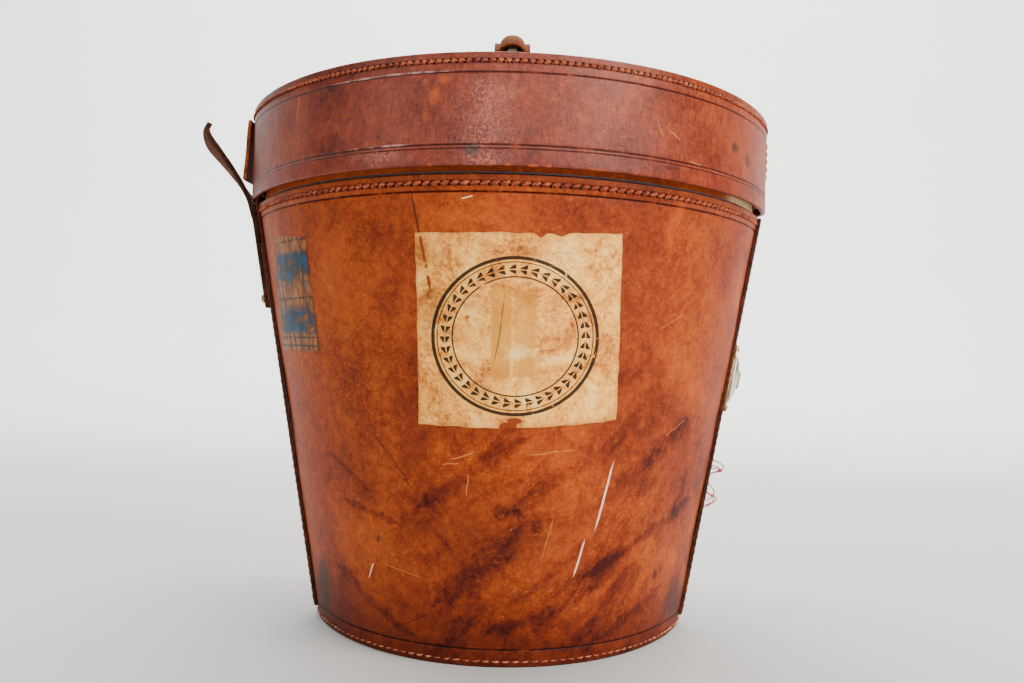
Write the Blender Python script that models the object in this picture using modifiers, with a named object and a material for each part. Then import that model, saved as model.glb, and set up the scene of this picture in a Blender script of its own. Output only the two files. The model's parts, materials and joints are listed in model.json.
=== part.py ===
"""Leather top-hat bucket with a hinged lid, lock, carrying handle and padded inside.

Frame: metres, +Z up. The origin is the middle of the underside. +X is the front, where the lock sits,
-X the rear, where the hinge sits, and -Y the side that carries the label.
"""

import math

import bmesh
import bpy
from mathutils import Vector

MM = 0.001

# Driving dimensions.
LID_HALF_LENGTH = 175 * MM
RIM_HALF_LENGTH = 170.5 * MM
BASE_HALF_LENGTH = 122 * MM
DEPTH_RATIO = 0.93
RIM_Z = 275.3 * MM
LID_BOTTOM_Z = 279 * MM
LID_TOP_Z = 339.5 * MM
LID_DOME_RISE = 20 * MM
HIDE = 3.0 * MM
GAP = 0.35 * MM

# The plan is two arcs that meet in a rounded point at the front and rear seams.
ARC_HALF_ANGLE = math.radians(65)
POINT_ROUNDING = 0.12

HINGE_X = -171.6 * MM
HINGE_Z = 277.2 * MM
STRAP_BEND_X = -174.5 * MM
STRAP_BEND_Z = 270.5 * MM

HANDLE_Y = 52.5 * MM
HANDLE_PIVOT_Z = 357.5 * MM
HANDLE_APEX_Z = 391 * MM
RING_NECK = 3.25 * MM  # how far the ring's narrow end runs from the pivot, all round it

LOCK_Z = 167 * MM
STRIP_THICKNESS = 2.0 * MM
THREAD_RADIUS = 0.5 * MM

FRONT = 0.0
FAR = math.pi / 2
REAR = math.pi
NEAR = 3 * math.pi / 2
FULL_TURN = 2 * math.pi
SEAM_ANGLE = 0.014  # half the gap where the two side panels meet
STRIP_ANGLE = 0.27  # half the plan angle that a seam strip covers


# ---------------------------------------------------------------- plan outline


def plan_point(half, angle):
    """A point of the plan outline; angle 0 is the front seam and pi the rear seam."""
    swing = ARC_HALF_ANGLE * math.cos(angle)
    bulge = (math.cos(swing) - math.cos(ARC_HALF_ANGLE)) / (1 - math.cos(ARC_HALF_ANGLE))
    bulge = max(bulge, 0.0)
    x = half * math.sin(swing) / math.sin(ARC_HALF_ANGLE)
    y = half * DEPTH_RATIO * math.sqrt(bulge * (bulge + POINT_ROUNDING) / (1 + POINT_ROUNDING))
    return Vector((x, math.copysign(y, math.sin(angle))))


def plan_normal(half, angle):
    ahead = plan_point(half, angle + 0.002)
    behind = plan_point(half, angle - 0.002)
    along = ahead - behind
    return Vector((along.y, -along.x)).normalized()


def outline(half, angle, z, inset=0.0):
    """The outline's point at this angle and height, moved in by inset square to the outline."""
    point = plan_point(half, angle) - plan_normal(half, angle) * inset
    return Vector((point.x, point.y, z))


def half_at(z):
    """Half the length of the case at height z."""
    return BASE_HALF_LENGTH + (RIM_HALF_LENGTH - BASE_HALF_LENGTH) * z / RIM_Z


def angle_where(half, wanted, low, high, axis):
    """The angle between low and high where the outline's x (axis 0) or y (axis 1) is the wanted value."""
    rising = plan_point(half, high)[axis] > plan_point(half, low)[axis]
    for _ in range(40):
        middle = (low + high) / 2
        if (plan_point(half, middle)[axis] < wanted) == rising:
            low = middle
        else:
            high = middle
    return (low + high) / 2


def rear_span(half, half_width):
    angle = angle_where(half, half_width, FAR, REAR, 1)
    return angle, FULL_TURN - angle


def near_span(half, x_from, x_to):
    start = angle_where(half, x_from, REAR, FULL_TURN, 0)
    end = angle_where(half, x_to, REAR, FULL_TURN, 0)
    return start, end


def circle(radius, count=16):
    """Points round a circle at the origin."""
    turns = [FULL_TURN * i / count for i in range(count)]
    return [(radius * math.cos(a), radius * math.sin(a)) for a in turns]


# ---------------------------------------------------------------- scene and materials


def clear_scene():
    for obj in list(bpy.data.objects):
        bpy.data.objects.remove(obj, do_unlink=True)


def new_collection(name):
    collection = bpy.data.collections.new(name)
    bpy.context.scene.collection.children.link(collection)
    return collection


def make_material(name, colour, roughness, metallic=0.0):
    material = bpy.data.materials.new(name)
    material.use_nodes = True
    shader = material.node_tree.nodes["Principled BSDF"]
    shader.inputs["Base Color"].default_value = (*colour, 1)
    shader.inputs["Roughness"].default_value = roughness
    shader.inputs["Metallic"].default_value = metallic
    return material


clear_scene()
PARTS = new_collection("hat_box")
CUTTERS = new_collection("cutters")
TAN = make_material("tan_leather", (0.32, 0.11, 0.03), 0.45)
MAHOGANY = make_material("mahogany_leather", (0.20, 0.055, 0.025), 0.42)
DARK = make_material("dark_leather", (0.07, 0.03, 0.018), 0.55)
THREAD = make_material("red_thread", (0.42, 0.10, 0.05), 0.8)
PAPER = make_material("aged_paper", (0.66, 0.55, 0.38), 0.85)
BOARD = make_material("grey_board", (0.30, 0.27, 0.22), 0.9)
SATIN = make_material("crimson_satin", (0.30, 0.02, 0.03), 0.5)
BRASS = make_material("aged_brass", (0.62, 0.47, 0.22), 0.35, 1.0)
STEEL = make_material("spring_steel", (0.45, 0.45, 0.46), 0.35, 1.0)


def add_object(name, data, material, collection=None):
    obj = bpy.data.objects.new(name, data)
    data.materials.append(material)
    (collection or PARTS).objects.link(obj)
    return obj


# ---------------------------------------------------------------- shape builders


def grid_mesh(name, rows, closed=False):
    """An open surface over rows of points; closed joins each row's end to its start."""
    shape = bmesh.new()
    verts = [[shape.verts.new(point) for point in row] for row in rows]
    count = len(rows[0])
    for lower, upper in zip(verts, verts[1:]):
        for i in range(count if closed else count - 1):
            after = (i + 1) % count
            shape.faces.new((lower[i], lower[after], upper[after], upper[i]))
    mesh = bpy.data.meshes.new(name)
    shape.to_mesh(mesh)
    shape.free()
    mesh.shade_smooth()
    mesh.set_sharp_from_angle(angle=math.radians(40))
    return mesh


def thicken(obj, thickness, offset=-1.0):
    solidify = obj.modifiers.new("thickness", "SOLIDIFY")
    solidify.thickness = thickness
    solidify.offset = offset
    solidify.use_even_offset = True
    return obj


def face_out(shape):
    """Turns a closed shape's faces outwards."""
    if shape.calc_volume(signed=True) < 0:
        bmesh.ops.reverse_faces(shape, faces=shape.faces)


def wall(name, levels, thickness, material, steps=28, closed=False):
    """A standing sheet. Each level is (z, half, inset, start angle, end angle) of its outer face."""
    rows = []
    for z, half, inset, start, end in levels:
        count = steps if closed else steps + 1
        angles = [start + (end - start) * i / steps for i in range(count)]
        rows.append([outline(half, angle, z, inset) for angle in angles])
    return thicken(add_object(name, grid_mesh(name, rows, closed), material), thickness)


def ring_wall(name, levels, thickness, material, steps=72):
    """A standing sheet all the way round. Each level is (z, half, inset)."""
    whole = [(z, half, inset, 0.0, FULL_TURN) for z, half, inset in levels]
    return wall(name, whole, thickness, material, steps, closed=True)


def plate(name, half, inset, bottom, top, material, steps=72):
    """A flat board with the plan's outline."""
    curve = bpy.data.curves.new(name, "CURVE")
    curve.dimensions = "2D"
    curve.fill_mode = "BOTH"
    curve.extrude = (top - bottom) / 2
    spline = curve.splines.new("POLY")
    spline.points.add(steps - 1)
    for i, point in enumerate(spline.points):
        place = outline(half, FULL_TURN * i / steps, 0, inset)
        point.co = (place.x, place.y, 0, 1)
    spline.use_cyclic_u = True
    obj = add_object(name, curve, material)
    obj.location.z = (top + bottom) / 2
    return obj


def tube(name, points, radius, material, closed=False, sides=0):
    """A round cord or wire through the points."""
    curve = bpy.data.curves.new(name, "CURVE")
    curve.dimensions = "3D"
    curve.bevel_depth = radius
    curve.bevel_resolution = sides
    curve.use_fill_caps = not closed
    spline = curve.splines.new("POLY")
    spline.points.add(len(points) - 1)
    for target, point in zip(spline.points, points):
        target.co = (*point, 1)
    spline.use_cyclic_u = closed
    return add_object(name, curve, material)


def thread(name, half, z, start=0.0, end=FULL_TURN):
    """A line of thread that lies on the hide at this height."""
    closed = end - start >= FULL_TURN
    steps = 72
    count = steps if closed else steps + 1
    angles = [start + (end - start) * i / steps for i in range(count)]
    lift = -(THREAD_RADIUS + GAP)
    return tube(name, [outline(half, a, z, lift) for a in angles], THREAD_RADIUS, THREAD, closed)


def domed_sheet(name, rim_rows, dome_inset, centre_drop, thickness, material):
    """A sheet with the lid's plan: rim rows of (inset, z), then the dome itself, lowered by centre_drop."""
    steps = 48
    angles = [FULL_TURN * i / steps for i in range(steps)]
    rows = [[outline(LID_HALF_LENGTH, a, z, inset) for a in angles] for inset, z in rim_rows]
    for share in (1.0, 0.8, 0.55, 0.3, 0.1):
        z = dome_z(share) - centre_drop
        row = []
        for angle in angles:
            edge = outline(LID_HALF_LENGTH, angle, z, dome_inset)
            row.append(Vector((edge.x * share, edge.y * share, z)))
        rows.append(row)
    mesh = grid_mesh(name, rows, closed=True)
    shape = bmesh.new()
    shape.from_mesh(mesh)
    shape.verts.ensure_lookup_table()
    shape.faces.new(shape.verts[-steps:])
    shape.to_mesh(mesh)
    shape.free()
    return thicken(add_object(name, mesh, material), thickness)


def dome_z(share):
    """Height of the lid's top face; share is 1 at its edge and 0 in the middle."""
    return LID_TOP_Z - 6 * MM + LID_DOME_RISE * (1 - share * share)


def ribbon(name, path, width, thickness, material, across=4):
    """A strap along a path of (x, z, twist in degrees) in the plane y = 0."""
    rows = []
    for i, (x, z, twist) in enumerate(path):
        ahead = path[min(i + 1, len(path) - 1)]
        behind = path[max(i - 1, 0)]
        along = Vector((ahead[0] - behind[0], 0, ahead[1] - behind[1])).normalized()
        sideways = Vector((0, 1, 0))
        square = along.cross(sideways)
        turn = math.radians(twist)
        direction = sideways * math.cos(turn) + square * math.sin(turn)
        shares = [j / across - 0.5 for j in range(across + 1)]
        rows.append([Vector((x, 0, z)) + direction * width * share for share in shares])
    return thicken(add_object(name, grid_mesh(name, rows), material), thickness, offset=0.0)


# ---------------------------------------------------------------- case


def side_panels():
    for name, start in (("side_panel_far", FRONT), ("side_panel_near", REAR)):
        span = (start + SEAM_ANGLE, start + math.pi - SEAM_ANGLE)
        levels = [(0.0, BASE_HALF_LENGTH, 0.0, *span), (RIM_Z, RIM_HALF_LENGTH, 0.0, *span)]
        wall(name, levels, HIDE, TAN, steps=36)


def seam_strips():
    outer = -(STRIP_THICKNESS + GAP)
    for name, centre, top in (
        ("front_seam_strip", FRONT, RIM_Z - 0.4 * MM),
        ("rear_seam_strip", REAR, RIM_Z - 25 * MM),
    ):
        levels = []
        for z in (7.5 * MM, top):
            levels.append((z, half_at(z), outer, centre - STRIP_ANGLE, centre + STRIP_ANGLE))
        wall(name, levels, STRIP_THICKNESS, TAN, steps=10)


def base():
    plate("base_disc", BASE_HALF_LENGTH, HIDE + 0.45 * MM, 0.0, 3.6 * MM, TAN)
    plate("base_board", half_at(4 * MM), HIDE + 0.6 * MM, 4.0 * MM, 6.0 * MM, BOARD)
    plate("crown_pad", half_at(8.5 * MM), HIDE + 2.4 * MM, 8.5 * MM, 28 * MM, SATIN)


def lining_and_collar():
    behind = HIDE + 0.45 * MM
    levels = [(z, half_at(z), behind) for z in (6.6 * MM, 237.5 * MM)]
    ring_wall("body_lining", levels, 1.2 * MM, SATIN)
    collar_top = RIM_Z + 22 * MM
    levels = [
        (238.5 * MM, half_at(238.5 * MM), behind),
        (RIM_Z + 1 * MM, RIM_HALF_LENGTH, behind),
        (collar_top, RIM_HALF_LENGTH, behind + 2.1 * MM),
    ]
    ring_wall("collar", levels, 2.0 * MM, MAHOGANY)


def hat_rest_ring():
    z = 230 * MM
    points = [outline(half_at(z), FULL_TURN * i / 60, z, 11 * MM) for i in range(60)]
    tube("hat_rest_ring", points, 5.5 * MM, SATIN, closed=True, sides=1)


def rim_cord():
    z = RIM_Z + 1.6 * MM
    points = [outline(RIM_HALF_LENGTH, FULL_TURN * i / 72, z, 2.5 * MM) for i in range(72)]
    tube("rim_cord", points, 0.6 * MM, DARK, closed=True)


def case_threads():
    leaf = rear_span(RIM_HALF_LENGTH, 20.5 * MM)
    strip = STRIP_ANGLE + 0.008
    z = RIM_Z - 5 * MM
    thread("rim_thread_far", half_at(z), z, strip, leaf[0])
    thread("rim_thread_near", half_at(z), z, leaf[1], FULL_TURN - strip)
    z = 3.8 * MM
    thread("base_thread", half_at(z), z)


def labels():
    paper = 0.3 * MM
    outer = -(paper + GAP)
    for name, x_from, x_to, z_from, z_to in (
        ("paper_label", -48 * MM, 64 * MM, 140 * MM, 246 * MM),
        ("side_label", -146 * MM, -115 * MM, 179 * MM, 250 * MM),
    ):
        levels = []
        for z in (z_from, z_to):
            half = half_at(z)
            scale = half / half_at((z_from + z_to) / 2) if name == "side_label" else 1
            levels.append((z, half, outer, *near_span(half, x_from * scale, x_to * scale)))
        wall(name, levels, paper, PAPER, steps=12)


# ---------------------------------------------------------------- lock


def lock():
    """The lock lies on the front strip and leans out with the wall, so it hangs on a tilted empty."""
    lean = math.atan((RIM_HALF_LENGTH - BASE_HALF_LENGTH) / RIM_Z)
    half = half_at(LOCK_Z)
    lift = 2 * GAP + STRIP_THICKNESS
    seat = bpy.data.objects.new("lock_seat", None)
    seat.location = (half + lift / math.cos(lean), 0, LOCK_Z)
    seat.rotation_euler = (0, lean, 0)
    PARTS.objects.link(seat)

    def set_back(y):
        """How far the strip's face lies behind its crest at this distance from the seam."""
        low, high = FRONT, FAR
        for _ in range(30):
            middle = (low + high) / 2
            if outline(half, middle, 0, -lift).y < abs(y):
                low = middle
            else:
                high = middle
        return outline(half, low, 0, -lift).x - (half + lift)

    def hang(obj, x=0.0, y=0.0, z=0.0):
        obj.parent = seat
        obj.location = (x, y, z)
        return obj

    back = 1.2 * MM
    bulge = 3.4 * MM
    rows = []
    for j in range(9):
        z = (j / 8 - 0.5) * 46 * MM
        width = 12.5 * MM * (1 - 0.35 * abs(z / (23 * MM)) ** 4)
        rows.append([Vector((back + set_back(y), y, z)) for y in (width * (i / 4 - 1) for i in range(9))])
    hang(thicken(add_object("lock_backplate", grid_mesh("lock_backplate", rows), BRASS), back))

    rings = []
    for share in (1.0, 0.97, 0.85, 0.65, 0.4, 0.12):
        ring = []
        for i in range(32):
            turn = FULL_TURN * i / 32
            y = 10 * MM * share * math.cos(turn)
            z = 17 * MM * share * math.sin(turn)
            height = bulge * (1 - share**4)
            ring.append(Vector((back + GAP + 0.3 * MM + height + set_back(y) * share, y, z)))
        rings.append(ring)
    mesh = grid_mesh("lock_dome", rings, closed=True)
    shape = bmesh.new()
    shape.from_mesh(mesh)
    shape.verts.ensure_lookup_table()
    shape.faces.new(shape.verts[-32:])
    shape.to_mesh(mesh)
    shape.free()
    dome = hang(thicken(add_object("lock_dome", mesh, BRASS), 0.8 * MM))
    face = back + GAP + 0.3 * MM + bulge

    cutter = hang(turned("keyhole_cutter", 1.3 * MM, 8 * MM, CUTTERS), face, 0, -4 * MM)
    cutter.scale.z = 1.8
    cutter.hide_render = True
    cutter.display_type = "WIRE"
    cut = dome.modifiers.new("keyhole", "BOOLEAN")
    cut.operation = "DIFFERENCE"
    cut.object = cutter

    cover = hang(cover_plate(), face + GAP, 0, 3.5 * MM)
    cover.data.materials.append(BRASS)
    hang(turned("cover_pin", 1.0 * MM, 1.7 * MM, PARTS), face + GAP + 0.85 * MM, 0, 3.5 * MM)
    for name, z in (("lock_rivet_top", 20.2 * MM), ("lock_rivet_bottom", -20.2 * MM)):
        hang(rivet(name, 2.1 * MM, 1.3 * MM), back + GAP, 0, z)

    bolt = bmesh.new()
    bmesh.ops.create_cube(bolt, size=1.0)
    bmesh.ops.scale(bolt, vec=(1.2 * MM, 7 * MM, 8 * MM), verts=bolt.verts)
    mesh = bpy.data.meshes.new("lock_bolt")
    bolt.to_mesh(mesh)
    bolt.free()
    body = hang(add_object("lock_bolt", mesh, BRASS), back + GAP + 0.9 * MM, 0, 3 * MM)
    bevel = body.modifiers.new("edges", "BEVEL")
    bevel.width = 0.3 * MM
    bevel.segments = 2

    turns = 5
    coil = 0.7 * MM
    points = []
    for i in range(turns * 9 + 1):
        turn = FULL_TURN * i / 9
        points.append((coil * math.cos(turn), coil * math.sin(turn), 7 * MM * i / (turns * 9)))
    spring = tube("bolt_spring", points, 0.2 * MM, STEEL)
    hang(spring, back + GAP + 1.1 * MM, 0, -9.2 * MM)


def turned(name, radius, length, collection):
    """A short round pin along X, centred on its own origin."""
    shape = bmesh.new()
    bmesh.ops.create_cone(shape, cap_ends=True, segments=20, radius1=radius, radius2=radius, depth=length)
    for vert in shape.verts:
        vert.co = Vector((vert.co.z, vert.co.x, vert.co.y))
    face_out(shape)
    mesh = bpy.data.meshes.new(name)
    shape.to_mesh(mesh)
    shape.free()
    return add_object(name, mesh, BRASS, collection)


def rivet(name, radius, height):
    """A domed head that faces +X, on its flat seat."""
    profile = [(radius, 0.0), (radius * 0.86, height * 0.6), (radius * 0.5, height * 0.92)]
    rows = [[Vector((x, across, up)) for across, up in circle(r)] for r, x in profile]
    mesh = grid_mesh(name, rows, closed=True)
    shape = bmesh.new()
    shape.from_mesh(mesh)
    shape.verts.ensure_lookup_table()
    seat = shape.verts.new((0, 0, 0))
    crown = shape.verts.new((height, 0, 0))
    shape.verts.ensure_lookup_table()
    last = 16 * (len(rows) - 1)
    for i in range(16):
        after = (i + 1) % 16
        shape.faces.new((shape.verts[after], shape.verts[i], seat))
        shape.faces.new((shape.verts[last + i], shape.verts[last + after], crown))
    face_out(shape)
    shape.to_mesh(mesh)
    shape.free()
    return add_object(name, mesh, BRASS)


def cover_plate():
    """A teardrop keyhole cover, hung on the hole at its own origin."""
    curve = bpy.data.curves.new("keyhole_cover", "CURVE")
    curve.dimensions = "2D"
    curve.fill_mode = "BOTH"
    curve.extrude = 0.4 * MM
    drop = [(2.4 * MM * math.cos(a), 2.4 * MM * math.sin(a)) for a in (math.pi * i / 10 for i in range(11))]
    low = math.pi
    drop += [
        (3.0 * MM * math.cos(low + math.pi * i / 12), -7 * MM + 3.0 * MM * math.sin(low + math.pi * i / 12))
        for i in range(13)
    ]
    for points in (drop, circle(1.35 * MM)):
        spline = curve.splines.new("POLY")
        spline.points.add(len(points) - 1)
        for target, (across, up) in zip(spline.points, points):
            target.co = (across, up, 0, 1)
        spline.use_cyclic_u = True
    flat = bpy.data.objects.new("keyhole_cover", curve)
    PARTS.objects.link(flat)
    bpy.context.view_layer.update()
    mesh = bpy.data.meshes.new_from_object(flat.evaluated_get(bpy.context.evaluated_depsgraph_get()))
    bpy.data.objects.remove(flat, do_unlink=True)
    shape = bmesh.new()
    shape.from_mesh(mesh)
    bmesh.ops.remove_doubles(shape, verts=shape.verts, dist=0.01 * MM)
    for vert in shape.verts:
        vert.co = Vector((vert.co.z + 0.5 * MM, vert.co.x, vert.co.y))
    face_out(shape)
    shape.to_mesh(mesh)
    shape.free()
    cover = bpy.data.objects.new("keyhole_cover", mesh)
    PARTS.objects.link(cover)
    return cover


# ---------------------------------------------------------------- lid


def lid():
    half = LID_HALF_LENGTH
    ring_wall("lid_band", [(LID_BOTTOM_Z, half, 0.0), (LID_TOP_Z, half, 0.0)], HIDE, MAHOGANY)
    top = 2.4 * MM
    flange = HIDE + GAP + top
    rim = [(flange, LID_TOP_Z - 0.5 * MM), (flange, LID_TOP_Z - 4.5 * MM)]
    domed_sheet("lid_top", rim, flange + 1.5 * MM, 0.0, top, MAHOGANY)
    domed_sheet("lid_board", [], flange + 4 * MM, top + 0.6 * MM, 1.4 * MM, BOARD)
    domed_sheet("lid_pad", [], flange + 4.5 * MM, top + 2.6 * MM, 9 * MM, SATIN)
    inset = HIDE + 2.1 * MM
    levels = [(LID_BOTTOM_Z + 4.5 * MM, half, inset), (LID_TOP_Z - 10 * MM, half, inset)]
    ring_wall("lid_lining", levels, 1.0 * MM, SATIN)
    thread("lid_thread", half, LID_TOP_Z - 5 * MM)


def hinge():
    leaf = 1.4 * MM
    half_width = 18 * MM
    levels = []
    for z in (RIM_Z - 24.3 * MM, RIM_Z - 0.2 * MM):
        levels.append((z, half_at(z), -(leaf + GAP), *rear_span(half_at(z), half_width)))
    wall("hinge_leaf_lower", levels, leaf, DARK, steps=16)
    span = rear_span(LID_HALF_LENGTH, half_width)
    heights = (LID_BOTTOM_Z + 0.5 * MM, LID_BOTTOM_Z + 21 * MM)
    levels = [(z, LID_HALF_LENGTH, HIDE + GAP, *span) for z in heights]
    wall("hinge_leaf_upper", levels, leaf, DARK, steps=16)


def rear_strap():
    thickness = 3.0 * MM
    over = -(STRIP_THICKNESS + 2 * GAP + thickness)
    levels = []
    for z in (207 * MM, STRAP_BEND_Z - 3.4 * MM):
        levels.append((z, half_at(z), over, *rear_span(half_at(z), 12 * MM)))
    wall("rear_strap_root", levels, thickness, DARK, steps=8)
    path = [
        (STRAP_BEND_X - 0.1 * MM, STRAP_BEND_Z + 0.6 * MM, 0),
        (-177.3 * MM, 279.5 * MM, 3),
        (-182.3 * MM, 288.5 * MM, 8),
        (-190.5 * MM, 299.6 * MM, 13),
        (-199.5 * MM, 310.6 * MM, 17),
        (-206.8 * MM, 319.5 * MM, 20),
        (-209.2 * MM, 326.6 * MM, 20),
        (-206.8 * MM, 332.2 * MM, 20),
    ]
    ribbon("rear_strap_tip", path, 24 * MM, thickness, DARK)
    root_z = 213 * MM
    seat = bpy.data.objects.new("strap_rivet_seat", None)
    seat.location = (-(half_at(root_z) - over + 0.6 * MM), 0, root_z)
    lean = math.atan((RIM_HALF_LENGTH - BASE_HALF_LENGTH) / RIM_Z)
    seat.rotation_euler = (0, lean, math.pi)
    PARTS.objects.link(seat)
    rivet("rear_strap_rivet", 3.2 * MM, 1.8 * MM).parent = seat


def strap_keeper():
    path = [
        (-176.9 * MM, 333 * MM, 0),
        (-177.2 * MM, 324 * MM, 0),
        (-178.0 * MM, 308 * MM, 0),
        (-179.2 * MM, 292.5 * MM, 0),
    ]
    ribbon("strap_keeper", path, 26 * MM, 2.2 * MM, MAHOGANY)


# ---------------------------------------------------------------- handle


def handle_arch(drop, reach_angle):
    """Points of the handle's arch at x = 0, lowered by drop, with the outward direction at each."""
    wing_z = HANDLE_APEX_Z - 5.4 * MM
    end_z = HANDLE_PIVOT_Z + 14.2 * MM
    span = HANDLE_Y - 3 * MM
    limit = math.radians(75)
    places = []
    for i in range(17):
        turn = reach_angle * (i / 8 - 1)
        y = span * math.sin(turn) / math.sin(limit)
        rise = (math.cos(turn) - math.cos(limit)) / (1 - math.cos(limit))
        fall = (wing_z - end_z) * math.sin(turn) / (1 - math.cos(limit))
        slope = Vector((0, span * math.cos(turn) / math.sin(limit), -fall))
        outward = Vector((1, 0, 0)).cross(slope).normalized()
        centre = Vector((0, y, end_z + (wing_z - end_z) * rise))
        places.append((centre - outward * drop, outward))
    return places


def swept(name, section, places, thickness, material):
    """A section of (x, height) points carried along the arch, then given its thickness."""
    rows = [[centre + Vector((x, 0, 0)) + outward * up for x, up in section] for centre, outward in places]
    return thicken(add_object(name, grid_mesh(name, rows), material), thickness)


def handle():
    half_hat = [(11.5, 0), (6.9, 0), (6.3, 1.6), (4.3, 4.2)]
    hat = [(-x, up) for x, up in half_hat] + [(0, 5.4)] + half_hat[::-1]
    limit = math.radians(75)
    swept("handle_cover", [(x * MM, up * MM) for x, up in hat], handle_arch(0, limit), 1.8 * MM, TAN)
    core = [(-3.2, 1.2), (-2.0, 2.1), (0, 2.6), (2.0, 2.1), (3.2, 1.2)]
    core = [(x * MM, up * MM) for x, up in core]
    swept("handle_core", core, handle_arch(0, limit * 0.97), 2.2 * MM, BOARD)
    flat = [(x * MM, 0.0) for x in (-11.5, -6, 0, 6, 11.5)]
    swept("handle_backing", flat, handle_arch(2.2 * MM, limit), 2.0 * MM, TAN)

    for word, side in (("near", -1), ("far", 1)):
        y = side * HANDLE_Y
        bar_z = HANDLE_PIVOT_Z + 9 * MM
        low_arc = [math.radians(-15 - 25 * i) for i in range(7)]
        ring = [(-8.2 * MM, bar_z), (8.2 * MM, bar_z)]
        ring += [(RING_NECK * math.cos(a), HANDLE_PIVOT_Z + RING_NECK * math.sin(a)) for a in low_arc]
        points = [(x, y, z) for x, z in ring]
        tube("dee_ring_" + word, points, 1.2 * MM, BRASS, closed=True, sides=1)

        round_bar = circle(3.9 * MM, 20)
        rows = []
        for x in (-4.4 * MM, 4.4 * MM):
            rows.append([Vector((x, y + across, bar_z + up)) for across, up in round_bar])
        loop = add_object("handle_loop_" + word, grid_mesh("handle_loop_" + word, rows, closed=True), TAN)
        thicken(loop, 2.2 * MM)

        legs = 8 * MM
        foot_z = dome_z(abs(y) / (LID_HALF_LENGTH * DEPTH_RATIO)) + 2.2 * MM
        bend = 2 * MM
        half_staple = [(legs, foot_z), (legs, HANDLE_PIVOT_Z - bend), (legs - bend, HANDLE_PIVOT_Z)]
        points = [(0, y - along, z) for along, z in half_staple]
        points += [(0, y + along, z) for along, z in reversed(half_staple)]
        tube("staple_" + word, points, 1.5 * MM, BRASS, sides=1)
        staple_plate("staple_plate_" + word, y)


def staple_plate(name, y):
    """A thin oval washer under a staple, tilted with the lid's dome."""
    reach = LID_HALF_LENGTH * DEPTH_RATIO
    shape = bmesh.new()
    bmesh.ops.create_cone(shape, cap_ends=True, segments=32, radius1=1.0, radius2=1.0, depth=1.0)
    bmesh.ops.scale(shape, vec=(6.5 * MM, 13 * MM, 0.8 * MM), verts=shape.verts)
    mesh = bpy.data.meshes.new(name)
    shape.to_mesh(mesh)
    shape.free()
    obj = add_object(name, mesh, BRASS)
    obj.location = (0, y, dome_z(abs(y) / reach) + 0.95 * MM)
    obj.rotation_euler = (math.atan(-2 * LID_DOME_RISE * y / reach**2), 0, 0)


side_panels()
seam_strips()
base()
lining_and_collar()
hat_rest_ring()
rim_cord()
case_threads()
labels()
lock()
lid()
hinge()
rear_strap()
strap_keeper()
handle()
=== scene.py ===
"""Looks of the leather top-hat bucket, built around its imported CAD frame.

Everything is in metres in the frame's own axes: +X is the front with the lock, -X the rear with the hinge,
-Y the side with the paper label. Places are read from the CAD nodes' boxes.
"""

import json
import math
import random

import bmesh
import bpy
import numpy as np
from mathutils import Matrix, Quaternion, Vector

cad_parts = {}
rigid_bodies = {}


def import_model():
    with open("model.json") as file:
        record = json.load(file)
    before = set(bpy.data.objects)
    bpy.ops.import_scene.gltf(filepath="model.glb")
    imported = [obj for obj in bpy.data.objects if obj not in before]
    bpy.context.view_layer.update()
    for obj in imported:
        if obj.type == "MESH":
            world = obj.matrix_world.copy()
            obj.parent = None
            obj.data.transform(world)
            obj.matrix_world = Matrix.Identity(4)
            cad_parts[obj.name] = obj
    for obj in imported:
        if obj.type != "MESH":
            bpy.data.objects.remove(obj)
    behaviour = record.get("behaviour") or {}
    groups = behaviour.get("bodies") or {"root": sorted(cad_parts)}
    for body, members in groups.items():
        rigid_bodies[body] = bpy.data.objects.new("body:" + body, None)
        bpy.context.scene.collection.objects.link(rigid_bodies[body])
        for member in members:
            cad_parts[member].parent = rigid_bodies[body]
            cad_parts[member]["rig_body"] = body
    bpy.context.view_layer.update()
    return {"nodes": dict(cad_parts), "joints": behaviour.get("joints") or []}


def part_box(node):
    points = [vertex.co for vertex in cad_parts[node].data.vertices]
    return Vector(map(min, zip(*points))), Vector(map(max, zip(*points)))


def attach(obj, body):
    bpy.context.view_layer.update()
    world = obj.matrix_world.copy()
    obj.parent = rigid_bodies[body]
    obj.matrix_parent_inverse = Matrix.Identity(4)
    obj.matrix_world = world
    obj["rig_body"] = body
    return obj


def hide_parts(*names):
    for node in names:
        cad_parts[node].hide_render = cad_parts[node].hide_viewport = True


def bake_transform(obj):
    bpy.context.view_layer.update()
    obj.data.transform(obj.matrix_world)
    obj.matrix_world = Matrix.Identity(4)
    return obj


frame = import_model()

MM = 0.001
random.seed(7)

# ---------------------------------------------------------------- measures taken from the frame


def corner(node, high=True):
    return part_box(node)[1 if high else 0]


def outer_half(node, lowest):
    """Largest x of a node's outer face at its lowest or highest level, and that level."""
    points = [v.co for v in frame["nodes"][node].data.vertices]
    edge = min(p.z for p in points) if lowest else max(points, key=lambda p: p.x).z
    level = [p for p in points if abs(p.z - edge) < 0.1 * MM]
    return max(p.x for p in level), edge


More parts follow.
